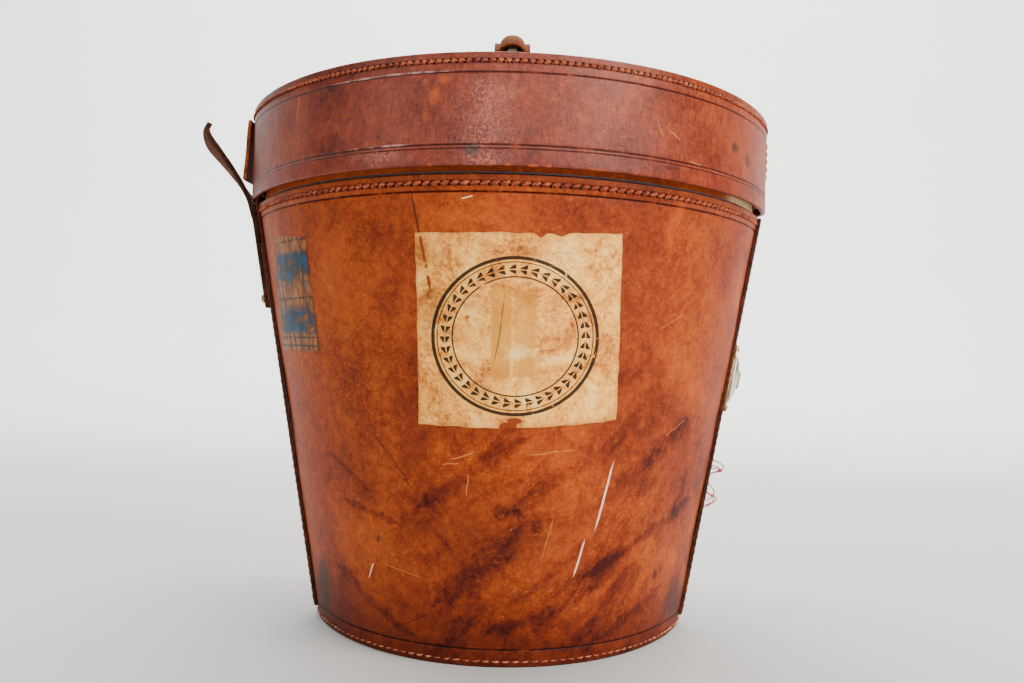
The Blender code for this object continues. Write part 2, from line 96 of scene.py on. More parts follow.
BASE_HALF, BASE_Z = outer_half("side_panel_near", True)
RIM_HALF, RIM_Z = outer_half("side_panel_near", False)
LID_HALF = corner("lid_band").x
LID_LOW, LID_HIGH = corner("lid_band", False).z, corner("lid_band").z
DEPTH_RATIO = corner("lid_band").y / LID_HALF
ARC_HALF_ANGLE = math.radians(65)
POINT_ROUNDING = 0.12
HIDE = 3.0 * MM
STRIP = 2.0 * MM
GAP = 0.35 * MM
LINING_INSET = HIDE + 0.45 * MM
DOME_RISE = 20 * MM
DOME_EDGE_Z = LID_HIGH - 6 * MM
HANDLE_PIVOT_Z = [j["pos_m"][2] for j in frame["joints"] if j["name"] == "handle_swing"][0]
HANDLE_Y = (corner("dee_ring_far").y + corner("dee_ring_far", False).y) / 2
STRAP_BEND = Vector([j["pos_m"] for j in frame["joints"] if j["name"] == "loose_strap_bend"][0])
LID_PIVOT = Vector([j["pos_m"] for j in frame["joints"] if j["name"] == "lid_hinge"][0])


def half_at(z):
    """Half the length of the case at height z; it works on numbers and on arrays."""
    return BASE_HALF + (RIM_HALF - BASE_HALF) * (z - BASE_Z) / (RIM_Z - BASE_Z)


def lid_half(z):
    return LID_HALF + 0 * z


# ---------------------------------------------------------------- plan outline


def build_plan():
    """The plan outline for a half length of 1: places, outward normals and share of the way round."""
    angle = np.linspace(0, 2 * math.pi, 8193)
    swing = ARC_HALF_ANGLE * np.cos(angle)
    bulge = (np.cos(swing) - math.cos(ARC_HALF_ANGLE)) / (1 - math.cos(ARC_HALF_ANGLE))
    bulge = np.clip(bulge, 0, None)
    x = np.sin(swing) / math.sin(ARC_HALF_ANGLE)
    y = DEPTH_RATIO * np.sqrt(bulge * (bulge + POINT_ROUNDING) / (1 + POINT_ROUNDING))
    y = np.where(angle > math.pi, -y, y)
    step = np.hypot(np.diff(x), np.diff(y))
    share = np.concatenate([[0], np.cumsum(step)])
    length = share[-1]
    along_x = np.roll(x[:-1], -1) - np.roll(x[:-1], 1)
    along_y = np.roll(y[:-1], -1) - np.roll(y[:-1], 1)
    size = np.hypot(along_x, along_y)
    normal_x = np.append(along_y / size, (along_y / size)[0])
    normal_y = np.append(-along_x / size, (-along_x / size)[0])
    plan = {"share": share / length, "x": x, "y": y, "nx": normal_x, "ny": normal_y}
    return {**plan, "length": length, "angle": angle}


PLAN = build_plan()
FRONT, REAR = 0.0, 0.5  # shares of the way round


def on_plan(share):
    """Unit outline x, y and outward normal at these shares of the way round."""
    turn = np.mod(share, 1.0)
    return tuple(np.interp(turn, PLAN["share"], PLAN[key]) for key in ("x", "y", "nx", "ny"))


def share_at_angle(angle):
    return float(np.interp(angle, PLAN["angle"], PLAN["share"]))


def near_share(unit_x):
    """Share of the way round where the near side has this x, for a half length of 1."""
    half_way = len(PLAN["x"]) // 2
    return np.interp(unit_x, PLAN["x"][half_way:], PLAN["share"][half_way:])


def rear_share(unit_y):
    """Share of the way round where the rear point of the outline has this y."""
    third, two_thirds = len(PLAN["x"]) // 3, 2 * len(PLAN["x"]) // 3
    return np.interp(-unit_y, -PLAN["y"][third:two_thirds], PLAN["share"][third:two_thirds])


def outline(half, share, z, inset=0.0):
    ux, uy, nx, ny = on_plan(share)
    return Vector((float(half * ux - inset * nx), float(half * uy - inset * ny), float(z)))


# ---------------------------------------------------------------- unevenness


class Waves:
    """A smooth random unevenness: plane waves with fixed directions and phases."""

    def __init__(self, seed, shortest, longest, count=9):
        pick = np.random.default_rng(seed)
        direction = pick.normal(size=(count, 3))
        direction /= np.linalg.norm(direction, axis=1)[:, None]
        lengths = pick.uniform(shortest, longest, count)
        self.waves = direction * (2 * math.pi / lengths)[:, None]
        self.phases = pick.uniform(0, 2 * math.pi, count)

    def at(self, x, y, z):
        total = 0
        for wave, phase in zip(self.waves, self.phases):
            total = total + np.sin(wave[0] * x + wave[1] * y + wave[2] * z + phase)
        return total / math.sqrt(len(self.phases))


BODY_DENTS = Waves(3, 60 * MM, 160 * MM)
LID_DENTS = Waves(5, 50 * MM, 130 * MM)
FINE_DENTS = Waves(11, 9 * MM, 22 * MM)


# ---------------------------------------------------------------- mesh builders


def placed(name, data):
    """A new object that shows this mesh, curve, light or camera."""
    obj = bpy.data.objects.new(name, data)
    bpy.context.scene.collection.objects.link(obj)
    return obj


def mesh_object(name, points, faces, smooth_angle=45, edge=None):
    mesh = bpy.data.meshes.new(name)
    mesh.from_pydata([tuple(p) for p in points], [], faces)
    mesh.update()
    shape = bmesh.new()
    shape.from_mesh(mesh)
    if shape.calc_volume(signed=True) < 0:
        bmesh.ops.reverse_faces(shape, faces=shape.faces)
    shape.to_mesh(mesh)
    shape.free()
    if edge is not None:
        attribute = mesh.attributes.new("edge", "FLOAT", "POINT")
        attribute.data.foreach_set("value", np.asarray(edge, np.float32).ravel())
    mesh.shade_smooth()
    mesh.set_sharp_from_angle(angle=math.radians(smooth_angle))
    return placed(name, mesh)


def finish_piece(obj, body, material, stands_for=()):
    """Gives a piece its material, its body, and the CAD nodes it stands for."""
    obj.data.materials.append(material)
    if stands_for:
        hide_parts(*stands_for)
    if body:
        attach(obj, body)
    return obj


def wall_section(low, high, outer, thickness, grooves=(), rows=30, rounding=0.9 * MM):
    """A closed loop of (z, inset): up the outer face, over the top edge and down the inner face."""
    levels = list(np.linspace(low + rounding, high - rounding, rows))
    for z, width, _ in grooves:
        levels += [z + width * step for step in (-2, -1.2, -0.6, -0.25, 0, 0.25, 0.6, 1.2, 2)]
    levels = sorted(z for z in levels if low + rounding * 0.99 <= z <= high - rounding * 0.99)
    loop = []
    for z in levels:
        cut = sum(depth * math.exp(-(((z - at) / width) ** 2)) for at, width, depth in grooves)
        loop.append((z, outer + cut))
    for turn in (30, 60, 90):
        a = math.radians(turn)
        loop.append((high - rounding + rounding * math.sin(a), outer + rounding - rounding * math.cos(a)))
    inner = outer + thickness
    loop += [(high, inner - 0.3 * MM), (high - 0.3 * MM, inner)]
    loop += [(z, inner) for z in np.linspace(high - 4 * MM, low + 4 * MM, 8)]
    loop += [(low + 0.3 * MM, inner), (low, inner - 0.3 * MM)]
    for turn in (90, 60, 30):
        a = math.radians(turn)
        loop.append((low + rounding - rounding * math.sin(a), outer + rounding - rounding * math.cos(a)))
    return loop


def sweep(name, shares, loop, half_of, closed=False, lift=None, edge_width=1.6 * MM, low_edge=True):
    """Carries a closed loop of (z, inset) round the plan outline. lift moves points outwards."""
    shares = np.asarray(shares, float)
    z = np.array([p[0] for p in loop])[None, :] + 0 * shares[:, None]
    inset = np.array([p[1] for p in loop])[None, :]
    ux, uy, nx, ny = (values[:, None] for values in on_plan(shares))
    half = half_of(z)
    if lift is not None:
        inset = inset - lift(shares[:, None], half * ux, half * uy, z)
    x = half * ux - inset * nx
    y = half * uy - inset * ny
    away = np.minimum(z - z.min(), z.max() - z) if low_edge else z.max() - z
    if not closed:
        walk = (shares - shares[0]) * PLAN["length"] * float(np.mean(half))
        across = np.minimum(walk, walk[-1] - walk)[:, None]
        away = np.minimum(away, across)
    edge = np.exp(-away / edge_width)
    points = np.stack([x, y, z], axis=-1).reshape(-1, 3)
    rows, count = len(shares), len(loop)
    faces = []
    for i in range(rows if closed else rows - 1):
        after = (i + 1) % rows
        for j in range(count):
            up = (j + 1) % count
            faces.append((i * count + j, after * count + j, after * count + up, i * count + up))
    if not closed:
        faces.append(tuple(range(count - 1, -1, -1)))
        faces.append(tuple((rows - 1) * count + j for j in range(count)))
    return mesh_object(name, points, faces, edge=edge)


def patch(name, corners_at, steps, inset, thickness, crease=None):
    """A thin sheet stuck on the near wall. corners_at(a, b) gives its (x, z) for a, b from 0 to 1."""
    across, up = steps
    points, edge = [], []
    for layer in (0, 1):
        for j in range(up + 1):
            for i in range(across + 1):
                x, z = corners_at(i / across, j / up)
                edge.append(math.exp(-min(i, across - i, j, up - j)))
                share = near_share(x / half_at(z))
                lift = crease(x, z) if crease else 0.0
                points.append(outline(half_at(z), share, z, inset - lift + layer * thickness))
    width = across + 1
    layer = width * (up + 1)
    faces = []
    for j in range(up):
        for i in range(across):
            a = j * width + i
            faces.append((a, a + 1, a + 1 + width, a + width))
            faces.append(tuple(layer + v for v in (a + width, a + 1 + width, a + 1, a)))
    rim = [i for i in range(across + 1)] + [j * width + across for j in range(1, up + 1)]
    rim += [up * width + i for i in range(across - 1, -1, -1)] + [j * width for j in range(up - 1, 0, -1)]
    for here, after in zip(rim, rim[1:] + rim[:1]):
        faces.append((after, here, layer + here, layer + after))
    return mesh_object(name, points, faces, smooth_angle=60, edge=edge)


def curve_tube(name, points, radius, closed=False, resolution=3):
    curve = bpy.data.curves.new(name, "CURVE")
    curve.dimensions = "3D"
    curve.bevel_depth = radius
    curve.bevel_resolution = resolution
    curve.use_fill_caps = not closed
    spline = curve.splines.new("POLY")
    spline.points.add(len(points) - 1)
    for target, point in zip(spline.points, points):
        target.co = (*point, 1)
    spline.use_cyclic_u = closed
    spline.use_smooth = True
    return placed(name, curve)


def refined(node, material, bevel=0.25 * MM, smooth_angle=35):
    """A finished copy of a CAD node: welded, softly bevelled and smoothly shaded."""
    source = frame["nodes"][node]
    mesh = source.data.copy()
    shape = bmesh.new()
    shape.from_mesh(mesh)
    bmesh.ops.remove_doubles(shape, verts=shape.verts, dist=0.02 * MM)
    bmesh.ops.dissolve_limit(shape, angle_limit=math.radians(1), verts=shape.verts, edges=shape.edges)
    shape.to_mesh(mesh)
    shape.free()
    mesh.materials.clear()
    mesh.shade_smooth()
    mesh.set_sharp_from_angle(angle=math.radians(smooth_angle))
    obj = placed(node + "_finished", mesh)
    if bevel:
        edges = obj.modifiers.new("edges", "BEVEL")
        edges.width = bevel
        edges.segments = 2
        edges.limit_method = "ANGLE"
        edges.angle_limit = math.radians(40)
    return finish_piece(obj, source["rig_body"], material, (node,))


# ---------------------------------------------------------------- stitches


def stitch_template(length, width, height):
    """One almond of thread: pointed, arched and sunk into the hide at both ends."""
    stations, around = 7, 6
    points = []
    for i in range(stations):
        t = i / (stations - 1)
        swell = math.sin(math.pi * t) ** 0.7 if 0 < t < 1 else 0.12
        rise = height * (math.sin(math.pi * t) - 0.55)
        for k in range(around):
            turn = 2 * math.pi * k / around
            side, top = math.cos(turn) * swell * width / 2, math.sin(turn) * swell * height
            points.append(((t - 0.5) * length, side, rise + top))
    faces = []
    for low in range(0, (stations - 1) * around, around):
        for k in range(around):
            after = (k + 1) % around
            faces.append((low + k, low + after, low + around + after, low + around + k))
    faces.append(tuple(range(around - 1, -1, -1)))
    faces.append(tuple((stations - 1) * around + k for k in range(around)))
    return np.array(points), faces


def stitch_row(name, places, length, body, slant, width, height, stands_for=(), holes=True, thread=None):
    """Separate stitches with their needle holes. A place is (point, along, up, outward)."""
    almond, almond_faces = stitch_template(length, width, height)
    hole, hole_faces = stitch_template(2.3 * MM, 1.7 * MM, 0.12 * MM)
    points, faces, slots = [], [], []
    for point, along, up, outward in places:
        turn = math.radians(slant + random.uniform(-5, 5))
        ahead = along * math.cos(turn) + up * math.sin(turn)
        side = up * math.cos(turn) - along * math.sin(turn)
        size = random.uniform(0.92, 1.06)
        jobs = [(almond * size, almond_faces, point + outward * 0.25 * MM, ahead, side, 0)]
        for row in (-1, 1) if holes else ():
            spot = point + along * (0.40 * length * row) - up * row * width * 0.42
            jobs.append((hole, hole_faces, spot + outward * 0.02 * MM, up, along, 1))
        for shape, shape_faces, centre, axis, across, which in jobs:
            base = len(points)
            for a, b, c in shape:
                points.append(centre + axis * a + across * b + outward * c)
            faces += [tuple(base + v for v in face) for face in shape_faces]
            slots += [which] * len(shape_faces)
    mesh = bpy.data.meshes.new(name)
    mesh.from_pydata([tuple(p) for p in points], [], faces)
    mesh.polygons.foreach_set("material_index", slots)
    mesh.shade_smooth()
    obj = placed(name, mesh)
    mesh.materials.append(thread or THREAD)
    mesh.materials.append(NEEDLE_HOLE)
    if stands_for:
        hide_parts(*stands_for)
    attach(obj, body)
    return obj


def round_places(half_of, z, pitch, inset=0.0, start=0.0, end=1.0, lift=None):
    """Places for a row of stitches round the outline at one height."""
    span = (end - start) * PLAN["length"] * float(half_of(z))
    count = max(2, round(span / pitch))
    places = []
    for i in range(count):
        share = start + (end - start) * (i + 0.5) / count
        ux, uy, nx, ny = (float(v) for v in on_plan(share))
        raised = float(lift(share, half_of(z) * ux, half_of(z) * uy, z)) if lift else 0.0
        point = outline(half_of(z), share, z, inset - raised)
        along = Vector((-ny, nx, 0))
        rise = (half_of(z + MM) - half_of(z)) / MM
        up = Vector((rise * ux, rise * uy, 1)).normalized()
        places.append((point, along, up, along.cross(up).normalized()))
    return places


def upright_places(half_of, low, high, pitch, inset, share_of):
    """Places for a row of stitches that runs up the wall; share_of(z) says where round the outline."""
    count = max(2, round((high - low) / pitch))
    places = []
    for i in range(count):
        z = low + (high - low) * (i + 0.5) / count
        share = share_of(z)
        ux, uy, nx, ny = (float(v) for v in on_plan(share))
        rise = (half_of(z + MM) - half_of(z)) / MM
        up = Vector((rise * ux, rise * uy, 1)).normalized()
        side = Vector((-ny, nx, 0))
        places.append((outline(half_of(z), share, z, inset), up, -side, side.cross(up).normalized()))
    return places


# ---------------------------------------------------------------- material graph


class Graph:
    """A short way to write a Principled material as nodes."""

    def __init__(self, name):
        self.material = bpy.data.materials.new(name)
        self.material.use_nodes = True
        self.tree = self.material.node_tree
        self.shader = self.tree.nodes["Principled BSDF"]
        self.place = self.node("ShaderNodeTexCoord").outputs["Object"]
        self.made_noise = {}
        self.split_place = None

    def node(self, kind, **inputs):
        made = self.tree.nodes.new(kind)
        for key, value in inputs.items():
            self.put(made.inputs[key.replace("_", " ")], value)
        return made

    def put(self, socket, value):
        if hasattr(value, "is_output"):
            self.tree.links.new(value, socket)
        elif isinstance(value, (tuple, list)) and len(value) == 3 and socket.type == "RGBA":
            socket.default_value = (*value, 1)
        else:
            socket.default_value = value

    def set(self, **inputs):
        for key, value in inputs.items():
            self.put(self.shader.inputs[key.replace("_", " ")], value)

    def math(self, operation, a, b=0.0, c=0.0, clamp=False):
        made = self.tree.nodes.new("ShaderNodeMath")
        made.operation = operation
        made.use_clamp = clamp
        for socket, value in zip(made.inputs, (a, b, c)):
            self.put(socket, value)
        return made.outputs[0]

    def noise(self, scale, detail=4.0, roughness=0.55, place=None, distortion=0.0):
        key = (scale, detail, roughness, distortion)
        if place is None and key in self.made_noise:
            return self.made_noise[key]
        made = self.node("ShaderNodeTexNoise", Scale=scale, Detail=detail, Roughness=roughness)
        self.put(made.inputs["Distortion"], distortion)
        self.put(made.inputs["Vector"], place or self.place)
        if place is None:
            self.made_noise[key] = made.outputs["Fac"]
        return made.outputs["Fac"]

    def cells(self, scale, feature="F1", place=None):
        made = self.tree.nodes.new("ShaderNodeTexVoronoi")
        made.feature = feature
        self.put(made.inputs["Scale"], scale)
        self.put(made.inputs["Vector"], place or self.place)
        return made.outputs["Distance"]

    def mapped(self, scale=(1, 1, 1), rotation=(0, 0, 0)):
        made = self.tree.nodes.new("ShaderNodeMapping")
        made.inputs["Scale"].default_value = scale
        made.inputs["Rotation"].default_value = rotation
        self.put(made.inputs["Vector"], self.place)
        return made.outputs["Vector"]

    def parts(self):
        """The x, y and z of the place."""
        if self.split_place is None:
            made = self.node("ShaderNodeSeparateXYZ")
            self.put(made.inputs[0], self.place)
            self.split_place = list(made.outputs)
        return self.split_place

    def ramp(self, factor, *stops):
        """A smooth step (two numbers) or a colour ramp of (position, colour)."""
        if not isinstance(stops[0], tuple):
            made = self.tree.nodes.new("ShaderNodeMapRange")
            made.interpolation_type = "SMOOTHSTEP"
            self.put(made.inputs["Value"], factor)
            self.put(made.inputs["From Min"], stops[0])
            self.put(made.inputs["From Max"], stops[1])
            return made.outputs["Result"]
        made = self.tree.nodes.new("ShaderNodeValToRGB")
        elements = made.color_ramp.elements
        while len(elements) < len(stops):
            elements.new(0.5)
        for element, (position, colour) in zip(elements, stops):
            element.position = position
            element.color = (*colour, 1)
        self.put(made.inputs["Fac"], factor)
        return made.outputs["Color"]

    def mix(self, factor, a, b, blend="MIX"):
        made = self.tree.nodes.new("ShaderNodeMix")
        made.data_type = "RGBA"
        made.blend_type = blend
        self.put(made.inputs["Factor"], factor)
        self.put(made.inputs[6], a)
        self.put(made.inputs[7], b)
        return made.outputs[2]

    def bump(self, height, distance, strength=1.0, normal=None):
        made = self.node("ShaderNodeBump", Height=height, Distance=distance, Strength=strength)
        if normal is not None:
            self.put(made.inputs["Normal"], normal)
        return made.outputs["Normal"]

    def warped(self, scale, reach):
        """The place shifted by noise, so that patterns on it lose their straight lines."""
        made = self.node("ShaderNodeTexNoise", Scale=scale, Detail=3.0)
        self.put(made.inputs["Vector"], self.place)
        centred = self.vector("SUBTRACT", made.outputs["Color"], (0.5, 0.5, 0.5))
        return self.vector("ADD", self.place, self.vector("MULTIPLY", centred, (reach, reach, reach)))

    def vector(self, operation, a, b):
        made = self.tree.nodes.new("ShaderNodeVectorMath")
        made.operation = operation
        self.put(made.inputs[0], a)
        self.put(made.inputs[1], b)
        return made.outputs[0]

    def times(self, *values):
        """The product of masks and numbers."""
        product = values[0]
        for value in values[1:]:
            product = self.math("MULTIPLY", product, value)
        return product

    def add(self, *terms):
        """The sum of (value, weight) terms."""
        total = 0.0
        for value, weight in terms:
            total = self.math("MULTIPLY_ADD", value, weight, total)
        return total

    def slanted(self, degrees, along, across):
        """Coordinates for a grain that runs up the near side at this slope, scaled along and across it."""
        x, y, z = self.parts()
        turn = math.radians(degrees)
        u = self.add((x, along * math.cos(turn)), (z, along * math.sin(turn)))
        v = self.add((z, across * math.cos(turn)), (x, -across * math.sin(turn)))
        return self.node("ShaderNodeCombineXYZ", X=u, Y=v, Z=self.times(y, across)).outputs[0]

    def darkened(self, colour, amount, tint):
        """The colour multiplied by a tint, by this much."""
        return self.mix(amount, colour, tint, "MULTIPLY")

    def over(self, colour, mask, strength, tint):
        """The colour covered by a tint where the mask is 1, by this much."""
        return self.mix(self.times(mask, strength), colour, tint)

    def near_side(self, mask):
        return self.times(mask, self.math("LESS_THAN", self.parts()[1], 0.0))

    def spot(self, x, z, radius_x, radius_z, soft=0.5, ragged=0.0):
        """1 inside an oval at x, z on the near side, fading out; ragged breaks up its outline."""
        px, _, pz = self.parts()
        dx = self.add((px, 1 / radius_x), (1.0, -x / radius_x))
        dz = self.add((pz, 1 / radius_z), (1.0, -z / radius_z))
        reach = self.math("SQRT", self.add((dx, dx), (dz, dz)))
        if ragged:
            reach = self.add((reach, 1.0), (self.rough_edge(), ragged), (0.5, -ragged))
        return self.near_side(self.ramp(reach, 1.0, 1.0 - soft))

    def oblong(self, left, right, low, high, soft=0.5 * MM):
        """1 inside a rectangle on the near side, with ragged sides."""
        x, _, z = self.parts()
        torn = self.add((z, 1.0), (self.rough_edge(), 5 * MM), (1.0, -2.5 * MM))
        sides = self.times(self.ramp(x, left - soft, left), self.ramp(x, right + soft, right))
        ends = self.times(self.ramp(torn, low - soft, low), self.ramp(torn, high + 6 * soft, high))
        return self.near_side(self.times(sides, ends))

    def rough_edge(self):
        """The ragged noise that all marks of a material share."""
        return self.noise(95, 7, 0.72)

    def stroke(self, start, end, width, wander=3 * MM, soft=0.0, broken=(0.40, 0.46)):
        """1 along a mark between two (x, z) points on the near side, thinning towards its ends."""
        px, _, pz = self.parts()
        dx, dz = end[0] - start[0], end[1] - start[1]
        long = math.hypot(dx, dz)
        ux, uz = dx / long, dz / long
        share = self.add((px, ux / long), (pz, uz / long), (1.0, -(start[0] * ux + start[1] * uz) / long))
        bend = self.noise(28, 3, 0.6) if wander else 0.5
        off = self.add((px, uz), (pz, -ux), (1.0, start[1] * ux - start[0] * uz - wander), (bend, 2 * wander))
        if soft:
            off = self.add((off, 1.0), (self.rough_edge(), 3 * width * soft), (-0.5, 3 * width * soft))
        off = self.math("ABSOLUTE", off)
        middle = self.math("ABSOLUTE", self.math("SUBTRACT", share, 0.5))
        reach = self.times(self.ramp(middle, 0.5, 0.30), width)
        off = self.math("DIVIDE", off, self.math("MAXIMUM", reach, 1e-6))
        inside = self.math("SUBTRACT", 1.0, off, clamp=True)
        line = self.ramp(inside, 0.0, 0.2 + 0.8 * soft)
        return self.near_side(self.times(line, self.ramp(self.rough_edge(), *broken)))

    def scored(self, colour, levels, tint=(0.16, 0.08, 0.10)):
        """Lines pressed in round the hide at these heights, darkened partly as burnished hide and partly as
        painted shade in their grooves.
        """
        z = self.parts()[2]
        press = self.ramp(self.noise(110, 4, 0.7), 0.30, 0.48)
        for level, width in levels:
            # each line is darkened as burnished hide and as painted shade in its groove
            off = self.math("ABSOLUTE", self.math("SUBTRACT", z, level))
            line = self.times(self.ramp(off, width, width * 0.4), press)
            colour = self.darkened(colour, line, tint)
        return colour


def leather(name, palette, edge_colour, roughness=0.55, gloss=0.2, grain=1.0, web=0.5, **more):
    """Old waxed hide: clouded, mottled and flecked, with a web of fine cracks, pores and rubbed edges.

    more can hold brushed, the strength of an upright brush grain; reach, how much of the mottling the
    palette spans; and toned(g), which gives what to add to the mottling before it is coloured.
    """
    brushed, reach, toned = more.get("brushed", 0.0), more.get("reach", 0.24), more.get("toned")
    g = Graph(name)
    cloud = g.noise(13, 6, 0.58, distortion=0.6)
    patchy = g.noise(64, 7, 0.72, distortion=0.9)
    fine = g.noise(210, 6, 0.75, distortion=0.5)
    fleck = g.noise(560, 4, 0.8)
    mottled = g.add((cloud, 0.26), (patchy, 0.27), (fine, 0.27), (fleck, 0.20))
    if toned:
        mottled = g.math("ADD", mottled, toned(g))
    stops = [(0.5 + reach * (i / (len(palette) - 1) - 0.5), colour) for i, colour in enumerate(palette)]
    colour = g.ramp(mottled, *stops)
    shifted = g.warped(150, 5 * MM)
    cracks = g.ramp(g.cells(360, "DISTANCE_TO_EDGE", shifted), 0.10, 0.0)
    wrinkles = g.ramp(g.cells(115, "DISTANCE_TO_EDGE", shifted), 0.07, 0.0)
    spread = g.ramp(g.noise(30, 4, 0.6), 0.42, 0.60)
    veins = g.times(g.math("MAXIMUM", cracks, wrinkles), spread)
    colour = g.darkened(colour, g.times(veins, web), (0.42, 0.28, 0.30))
    height = g.add((g.cells(900), 0.25), (g.noise(640, 5, 0.75), 0.75))
    if brushed:
        hairs = g.noise(1.0, 4, 0.7, place=g.mapped(scale=(850, 850, 120)))
        colour = g.darkened(colour, g.times(g.ramp(hairs, 0.50, 0.66), brushed), (0.42, 0.30, 0.33))
        colour = g.mix(g.times(g.ramp(hairs, 0.44, 0.30), brushed * 0.35), colour, edge_colour)
        height = g.add((height, 0.7), (hairs, 0.5))
    nicks = g.times(g.ramp(g.noise(260, 3, 0.6), 0.30, 0.22), 0.8)
    colour = g.mix(nicks, colour, (0.035, 0.012, 0.007))
    scuff = g.noise(1.0, 5, 0.72, place=g.slanted(28, 190, 520))
    scuffs = g.times(g.ramp(scuff, 0.58, 0.70), g.ramp(g.noise(19, 4, 0.6), 0.45, 0.60))
    colour = g.over(colour, scuffs, 0.50, (0.66, 0.20, 0.040))
    edge = g.node("ShaderNodeAttribute")
    edge.attribute_name = "edge"
    rubbed = g.times(edge.outputs["Fac"], g.ramp(g.noise(210, 5, 0.75), 0.34, 0.58))
    colour = g.over(colour, rubbed, 0.9, edge_colour)
    rough = g.add((1.0, roughness - 0.2), (fleck, 0.25), (patchy, 0.15), (scuffs, 0.2))
    normal = g.bump(height, 0.16 * MM * grain, 0.75)
    creases = g.add((g.noise(75, 6, 0.62, distortion=1.2), 1.0), (veins, -0.12))
    normal = g.bump(creases, 1.2 * MM * grain, 0.3, normal)
    g.set(Base_Color=colour, Roughness=rough, Normal=normal, Specular_IOR_Level=gloss)
    g.colour = colour
    return g


def case_tone(g):
    """Where the case is darker or lighter: diagonal stains low down, veins, rubbed orange patches."""
    x, _, z = g.parts()
    slope = g.ramp(g.noise(1.0, 6, 0.62, place=g.slanted(43, 7, 44), distortion=0.3), 0.47, 0.66)
    region = g.times(g.ramp(z, 0.19, 0.09), g.ramp(x, -0.10, 0.01))
    tone = g.times(g.times(slope, region), -0.125)
    for px, pz, wide, tall, shift in (
        (-0.079, 0.067, 0.026, 0.026, 0.050),
        (0.034, 0.108, 0.050, 0.022, 0.035),
        (0.096, 0.064, 0.024, 0.030, 0.050),
        (-0.010, 0.252, 0.075, 0.020, 0.045),
        (-0.098, 0.225, 0.034, 0.055, 0.040),
        (0.114, 0.190, 0.026, 0.085, 0.060),
        (0.104, 0.250, 0.024, 0.024, 0.040),
        (-0.042, 0.097, 0.024, 0.019, -0.030),
        (0.004, 0.030, 0.075, 0.030, -0.025),
        (-0.062, 0.210, 0.014, 0.022, -0.035),
        (0.030, 0.256, 0.034, 0.012, -0.045),
    ):
        tone = g.add((tone, 1.0), (g.spot(px, pz, wide, tall, 0.95, 1.8), shift))
    smears = (
        ((-0.0500, 0.0880), (0.0200, 0.1380), 5.0 * MM, -0.060),
        ((-0.1060, 0.1170), (-0.0720, 0.0960), 2.2 * MM, -0.045),
        ((-0.0960, 0.0920), (-0.0560, 0.0790), 2.6 * MM, -0.055),
        ((-0.0430, 0.0880), (-0.0240, 0.0650), 2.0 * MM, -0.035),
        ((-0.0400, 0.0320), (0.0330, 0.0930), 9.0 * MM, -0.055),
        ((-0.0080, 0.0170), (0.0430, 0.0390), 4.5 * MM, -0.060),
        ((0.0430, 0.0500), (0.1280, 0.0940), 4.5 * MM, -0.060),
        ((0.0560, 0.0100), (0.1040, 0.0380), 4.5 * MM, -0.060),
        ((0.0500, 0.0900), (0.1250, 0.1500), 7.0 * MM, -0.050),
        ((-0.0060, 0.0930), (0.0140, 0.0900), 4.0 * MM, -0.060),
        ((-0.1040, 0.0500), (-0.0430, 0.0110), 4.0 * MM, -0.055),
    )
    for start, end, width, shift in smears:
        smear = g.stroke(start, end, 1.25 * width, 5 * MM, 0.8, (0.20, 0.50))
        tone = g.add((tone, 1.0), (smear, 1.45 * shift))
    return tone


